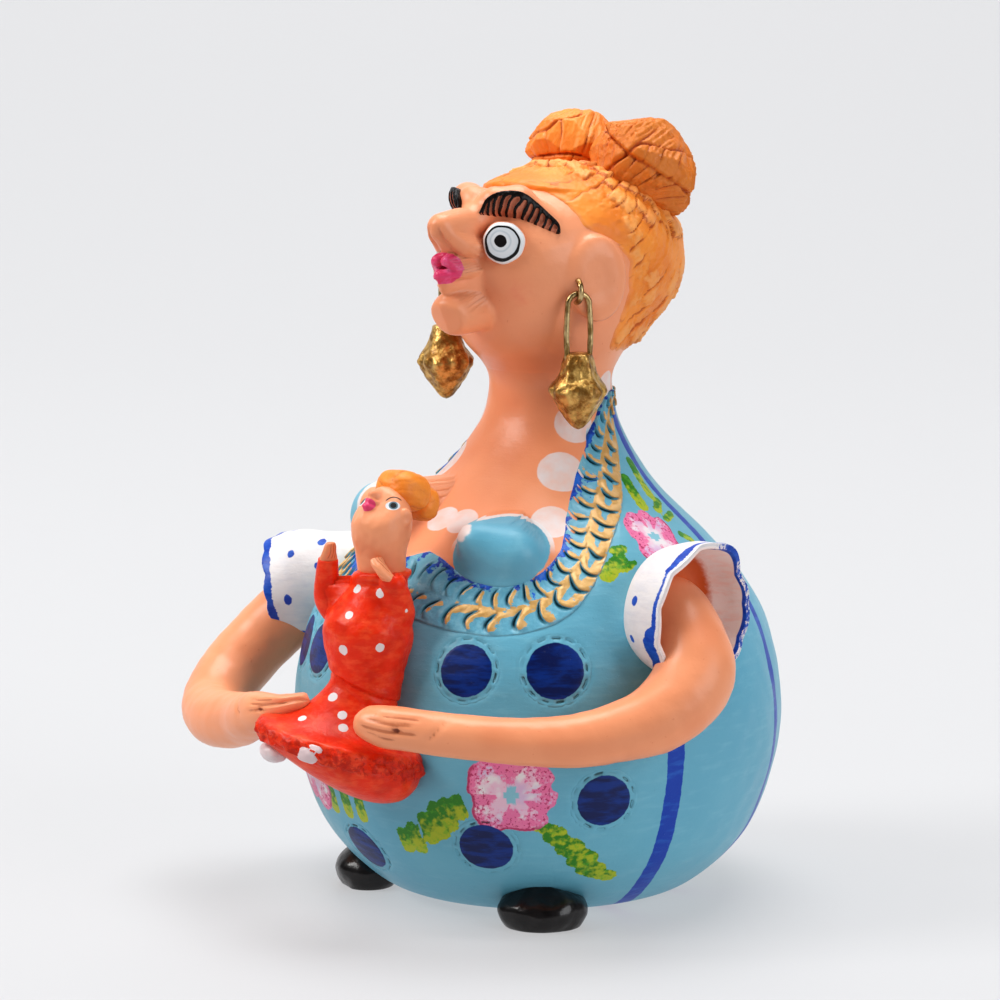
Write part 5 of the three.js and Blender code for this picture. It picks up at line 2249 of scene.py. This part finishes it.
@dataclass
class Earring:
    """A wire staple in the ear, a long wire link in it, and a gilded clay drop on the link."""

    side: int
    root: Place
    turn: float
    seed: int
    half: float = 3.2
    reach: float = 4.1
    sunk: float = 3.4
    link_half: float = 3.1
    hang: float = 2.0
    link_top: float = -0.6
    foot: float = -19.6
    wire: float = 0.78
    radius: float = 7.8
    drop_top: float = -16.6
    belt: float = -27.4
    tip: float = -38.0
    dents: int = 11
    wire_rows: int = 96
    wire_columns: int = 20
    drop_rows: int = 68
    drop_columns: int = 88

    def word(self) -> str:
        """left or right."""
        return "left" if self.side > 0 else "right"

    def worn(self, local: Array) -> Array:
        """From the earring's own frame to the figurine's."""
        mirror = np.array([self.side, 1, 1])
        return (local @ turned_axes((0, 0, self.turn)).T + np.array(self.root) * mirror) * mirror

    def bent_wire(self, name: str, stations: Sequence[Place], finish: Material, *nodes: str) -> None:
        """A round wire along a bent line.

        Args:
            name: the piece's name.
            stations: the points it runs through.
            finish: its paint.
            nodes: the CAD nodes it stands for.
        """
        path = evenly(through(stations, 200), self.wire_rows)
        along = unit(np.gradient(path, axis=0))
        flat = np.array([0, 1.0, 0]) if np.ptp(path[:, 1]) < 0.1 else np.array([1.0, 0, 0])
        across = np.broadcast_to(flat, along.shape)
        over = np.cross(along, across)
        turn = full_turn(self.wire_columns)
        size = self.wire * (1 + 0.03 * np.sin(np.arange(len(path)) * 0.7))[:, None, None]
        rings = path[:, None] + size * (
            np.cos(turn)[None, :, None] * across[:, None] + np.sin(turn)[None, :, None] * over[:, None]
        )
        tips = (self.worn(path[0]), self.worn(path[-1]))
        hand_over(closed_skin(name, self.worn(rings), tips, {}), finish, Slot.WIRE, *nodes)

    def build_wires(self, finish: Material) -> None:
        """The staple lies in X-Z and the link in Y-Z.

        Args:
            finish: its paint.
        """
        bend = np.linspace(0, math.pi, 9)
        staple = [(-self.sunk, 0.0, self.half)]
        staple += [(self.reach * math.sin(a), 0.0, self.half * math.cos(a)) for a in bend]
        staple += [(-self.sunk, 0.0, -self.half)]
        self.bent_wire(f"{self.word()}_ear_staple", staple, finish, f"{self.word()}_ear_hook")
        crown = self.link_top - self.link_half
        wide = self.link_half * 1.12
        link = [(self.hang, -self.link_half, self.foot), (self.hang, -wide, self.foot + 8)]
        link += [
            (self.hang, -self.link_half * math.cos(a), crown + self.link_half * math.sin(a)) for a in bend
        ]
        link += [(self.hang, wide, self.foot + 8), (self.hang, self.link_half, self.foot)]
        self.bent_wire(f"{self.word()}_ear_link", link, finish, f"{self.word()}_earring_link")

    def build_drop(self, finish: Material) -> None:
        """A turned outline with a belt of dents between small beads, pared unevenly.

        Args:
            finish: its paint.
        """
        top, belt, tip, wide = self.drop_top, self.belt, self.tip, self.radius
        outline = through([(0.1, top), (3.5, top - 0.5), (4.3, top - 2.4), (5.4, belt + 4.6),
                           (wide * 0.93, belt + 1.8), (wide, belt), (wide * 0.90, belt - 2.1),
                           (4.6, belt - 6.0), (1.9, tip + 1.0), (0.1, tip)], 300)
        outline = evenly(outline, self.drop_rows)
        turn = full_turn(self.drop_columns)
        level = outline[:, 1:] - belt
        slope = bell(level, 1.5)
        run = turn / (2 * math.pi) * self.dents + 0.15 * np.sin(turn * 3 + self.seed)
        part = run - np.floor(run) - 0.5
        dent = bell(part, 0.24)
        bead = bell(part, 0.10) * bell(level + 0.1, 0.55)
        sides = 0.30 * np.cos(5 * turn + self.seed) * smooth(outline[:, :1], 2, 5)
        spin = np.stack(np.broadcast_arrays(np.cos(turn), np.sin(turn), level / 8), axis=-1)
        rough = 0.30 * wobble(spin, 0.9, self.seed) + 0.16 * wobble(spin, 0.35, self.seed + 1)
        bulk = np.clip(outline[:, :1] / 5, 0, 1)
        radius = outline[:, :1] + bulk * (sides + rough + slope * (0.45 - 1.15 * dent) + 0.85 * bead)
        height = outline[:, 1:] + 0 * turn
        local = np.stack([self.hang + radius * np.cos(turn), radius * np.sin(turn), height], axis=-1)
        tips = [self.worn(np.array([self.hang, 0, z])) for z in (top + 0.1, tip)]
        marks = {"dent": slope * dent + 0 * radius}
        drop = closed_skin(f"{self.word()}_ear_drop", self.worn(local), tips, marks)
        hand_over(drop, finish, Slot.GILT, f"{self.word()}_earring_drop")


@dataclass(frozen=True)
class GiltFinish:
    """Gold paint worn in patches, with painted shade in the dents."""

    def material(self) -> Material:
        """Reads the dents for the painted shade, and wears the gilt in patches of noise."""
        paint = Paint("drop_gilding")
        dent = paint.mark("dent")
        cloud = paint.noise(3.2, 4.0, rough=0.65)
        ground = paint.colour(cloud.over(0.50, 0.14), TINT.gilt_worn, TINT.gilt)
        # Painted shade in the dents of the belt.
        ground = paint.colour(dent.over(0.4, 0.3) * 0.6, ground, TINT.gold_painted_shade)
        relief = paint.noise(1.3, 4.0, rough=0.6) * 0.35
        rough = 0.48 - cloud * 0.22
        return paint.finish(Gloss(roughness=0.35, coat=0.2, metallic=0.75), ground, relief, roughness=rough)


@dataclass(frozen=True)
class WireFinish:
    """Dull brass wire with tarnish."""

    def material(self) -> Material:
        """Brass clouded with brown."""
        paint = Paint("brass_wire")
        cloud = paint.noise(2.2, 3.0, (1, 1, 2), 0.6)
        ground = paint.colour(cloud.over(0.52, 0.12), TINT.brass, TINT.tarnish)
        return paint.finish(Gloss(roughness=0.32, coat=0.0, metallic=0.95), ground, paint.noise(0.8) * 0.05)


# The studio


@dataclass
class Studio:
    """A pale sweep, soft lights and the camera.

    Places here are to the right of, behind and above the figurine, as the camera sees it. The
    floor's stations are a place behind and a height. A light is a name, its place, the point it
    faces, the length of its side, its power and its colour.
    """

    aim: Place = (-18.6, 5.4, 107.5)
    azimuth: float = 40.0
    elevation: float = 8.5
    distance: float = 1150.0
    lens: float = 144.9
    sensor: float = 36.0
    clip_end: float = 50.0
    half_width: float = 3000.0
    floor_rows: int = 110
    floor_columns: int = 30
    paper: Place = (0.24, 0.24, 0.245)
    glow: float = 0.385
    glow_tint: Place = (0.98, 0.985, 1.0)
    sky: Place = (0.93, 0.94, 1.0)
    sky_strength: float = 0.09
    floor: tuple[tuple[float, float], ...] = (
        (-5000, 0), (-2500, 0), (-900, 0), (0, 0), (900, 0), (1300, 40), (1640, 190), (1860, 480),
        (1960, 900), (2000, 1500), (2000, 3000),
    )
    lights: tuple[tuple[str, Place, Place, float, float, Place], ...] = (
        ("key", (-1900, -500, 1750), (0, 0, 110), 1200, 41, (1.0, 0.99, 0.97)),
        ("top", (100, 500, 2500), (0, 0, 110), 1800, 48, (1.0, 1.0, 1.0)),
        ("fill", (1800, -1300, 900), (0, 0, 110), 1500, 21, (0.95, 0.97, 1.0)),
        ("wall", (0, 400, 2400), (0, 2000, 500), 1600, 8, (0.98, 0.98, 1.0)),
    )

    def seen(self, right: Array | float, back: Array | float, up: Array | float) -> Array:
        """A point given as the camera sees it, in the part's frame."""
        turn = math.radians(self.azimuth)
        across = np.multiply.outer(right, [math.cos(turn), math.sin(turn), 0])
        away = np.multiply.outer(back, [-math.sin(turn), math.cos(turn), 0])
        return across + away + np.multiply.outer(up, [0, 0, 1.0])

    def sweep(self) -> None:
        """A floor that curves up into a wall far behind, square to the camera."""
        across = np.linspace(-self.half_width, self.half_width, self.floor_columns)
        run = through(self.floor, self.floor_rows)
        across, back = np.meshgrid(across, run[:, 0])
        grid = self.seen(across, back, np.broadcast_to(run[:, 1:], back.shape))
        rows, columns, _ = grid.shape
        index = np.arange(rows * columns).reshape(rows, columns)
        quads = np.stack([index[:-1, :-1], index[:-1, 1:], index[1:, 1:], index[1:, :-1]], axis=-1)
        mesh = bpy.data.meshes.new("sweep")
        mesh.from_pydata((grid.reshape(-1, 3) * MM).tolist(), [], quads.reshape(-1, 4).tolist())
        mesh.shade_smooth()
        sweep = bpy.data.objects.new("sweep", mesh)
        bpy.context.collection.objects.link(sweep)
        paint = Paint("sweep_paper")
        paper = paint.finish(Gloss(roughness=0.6, coat=0.0, specular=0.2), self.paper)
        shader = paper.node_tree.nodes["Principled BSDF"]
        shader.inputs["Emission Color"].default_value = (*self.glow_tint, 1.0)
        shader.inputs["Emission Strength"].default_value = self.glow
        sweep.data.materials.append(paper)

    def light(self, name: str, where: Place, at: Place, size: float, watts: float, tint: Place) -> None:
        """A square soft light.

        Args:
            name: its name.
            where: its place, as the camera sees it.
            at: the point it faces, as the camera sees it.
            size: the length of its side.
            watts: its power.
            tint: its colour.
        """
        lamp = bpy.data.lights.new(name, "AREA")
        lamp.shape = "SQUARE"
        lamp.size = size * MM
        lamp.energy = watts
        lamp.color = tint
        holder = bpy.data.objects.new(name, lamp)
        holder.location = Vector(self.seen(*where)) * MM
        way = Vector(self.seen(*at)) * MM - holder.location
        holder.rotation_euler = way.to_track_quat("-Z", "Y").to_euler()
        bpy.context.collection.objects.link(holder)

    def build(self) -> None:
        """Sets everything up."""
        self.sweep()
        for light in self.lights:
            self.light(*light)
        world = bpy.data.worlds.new("studio")
        world.use_nodes = True
        background = world.node_tree.nodes["Background"]
        background.inputs[0].default_value = (*self.sky, 1.0)
        background.inputs[1].default_value = self.sky_strength
        bpy.context.scene.world = world
        camera = bpy.data.cameras.new("camera")
        camera.sensor_width = self.sensor
        camera.lens = self.lens
        camera.clip_end = self.clip_end
        holder = bpy.data.objects.new("camera", camera)
        turn, rise = math.radians(self.azimuth), math.radians(self.elevation)
        away = Vector((math.sin(turn) * math.cos(rise), -math.cos(turn) * math.cos(rise), math.sin(rise)))
        holder.location = (Vector(self.aim) + away * self.distance) * MM
        holder.rotation_euler = (-away).to_track_quat("-Z", "Y").to_euler()
        bpy.context.collection.objects.link(holder)
        bpy.context.scene.camera = holder
        bpy.context.scene.view_settings.view_transform = "Standard"
        bpy.context.scene.view_settings.look = "Medium High Contrast"


LEFT_ARM = Arm(
    "left_arm",
    ((50, -14, 87, 9), (62, -19, 87, 10), (70, -22, 81, 10.4), (75, -26, 72, 11), (73.2, -36, 64.0, 9.8),
     (66, -47, 59.5, 8.0), (55.5, -59, 57.5, 6.8), (40.5, -73, 58.5, 5.9), (27, -82, 60.3, 5.9),
     (19, -86, 61, 5.7), (13.5, -88, 62, 4.4), (10.5, -89, 63.2, 2.6)),
    grip=(0.55, -0.8, 0.2),
)
RIGHT_ARM = Arm(
    "right_arm",
    ((-50, -12, 90, 9), (-62, -19, 82.5, 10.2), (-74, -29, 70, 9.8), (-79.3, -42.5, 57, 9.6),
     (-73.8, -56, 50, 8.8), (-61, -66, 49.5, 8.2), (-46, -73, 52.5, 7.4), (-36, -80, 56, 6.4),
     (-27, -84.5, 59, 5.2), (-19, -86.5, 61.2, 3.9), (-12, -86, 63.6, 2.7), (-9.5, -85, 64.0, 2.0)),
    grip=(-0.2, -0.3, 0.9),
    ridged=0.5,
)
LEFT_SLEEVE = Sleeve(
    "left_sleeve", centre=(57.5, -17.5, 88.8), aim=(1, 0, -0.08), length=14.5, base=15.8, rim=20.0, seed=3,
    dots=((10.6, 166), (11.4, 202), (8, 60), (9, 20), (8, 335), (9, 290), (8, 250)),
    patches=((206, 28, 5.8), (122, 22, 3.2), (20, 14, 3.5), (320, 18, 3.0)), lip=1.0, deep=2.0,
)
RIGHT_SLEEVE = Sleeve(
    "right_sleeve", centre=(-60.6, -19.4, 83.8), aim=(-1, -0.35, -0.25), length=15.2, base=13.5, rim=15.8,
    seed=4,
    dots=((6.7, 350), (9.0, 40), (16.8, 22), (17.3, 58), (6, 95), (8, 140), (6, 190), (8, 240), (6, 300),
          (15, 110), (15, 165), (15, 215), (15, 320)),
    patches=((0, 90, 2.6), (90, 60, 2.2), (180, 90, 2.4), (270, 60, 2.8)), lip=0.0, deep=14.0,
)


LEFT_EARRING = Earring(1, root=(23.2, -12, 171.4), turn=-32, seed=5)
RIGHT_EARRING = Earring(-1, root=(-24.8, -8, 175.4), turn=-15, seed=8)


def main() -> None:
    """Builds the figurine round its CAD part."""
    logging.basicConfig(level=logging.INFO, format="%(name)s: %(message)s")
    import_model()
    Studio().build()
    torso = Torso()
    head = HeadClay(torso)
    collar = Collar(torso)
    skin = TorsoSkin(torso, head, DressPattern(torso, collar))
    skin.build(BodyFinish().material())
    skin.build_dots(BodyFinish(dented=True).material())
    collar.build(skin.shape, CollarFinish().material())
    head.build(FaceFinish().material())
    Eyes(head).build(EyeFinish().material())
    Brows(head).build(BrowFinish().material())
    hair_paint = HairFinish("hair_paint").material()
    hair = Hair(head)
    hair.build_cap(hair_paint)
    hair.build_buns(hair_paint)
    arm_paint = ArmFinish().material()
    LEFT_ARM.build(arm_paint)
    RIGHT_ARM.build(arm_paint)
    sleeve_paint = SleeveFinish().material()
    LEFT_SLEEVE.build(sleeve_paint)
    RIGHT_SLEEVE.build(sleeve_paint)
    polish = Gloss(roughness=0.3, coat=0.35)
    Shoes().build(PlainFinish("shoe_paint", TINT.black, TINT.black_worn, polish).material())
    girl = Girl()
    girl.build_dress(RedDressFinish().material())
    girl.build_head(GirlFaceFinish().material(), hair_paint)
    girl.build_limbs(arm_paint, PlainFinish("girl_shoe_paint", TINT.girl_shoe, TINT.white).material())
    wire, gilt = WireFinish().material(), GiltFinish().material()
    for earring in (LEFT_EARRING, RIGHT_EARRING):
        earring.build_wires(wire)
        earring.build_drop(gilt)


if __name__ == "__main__":
    main()
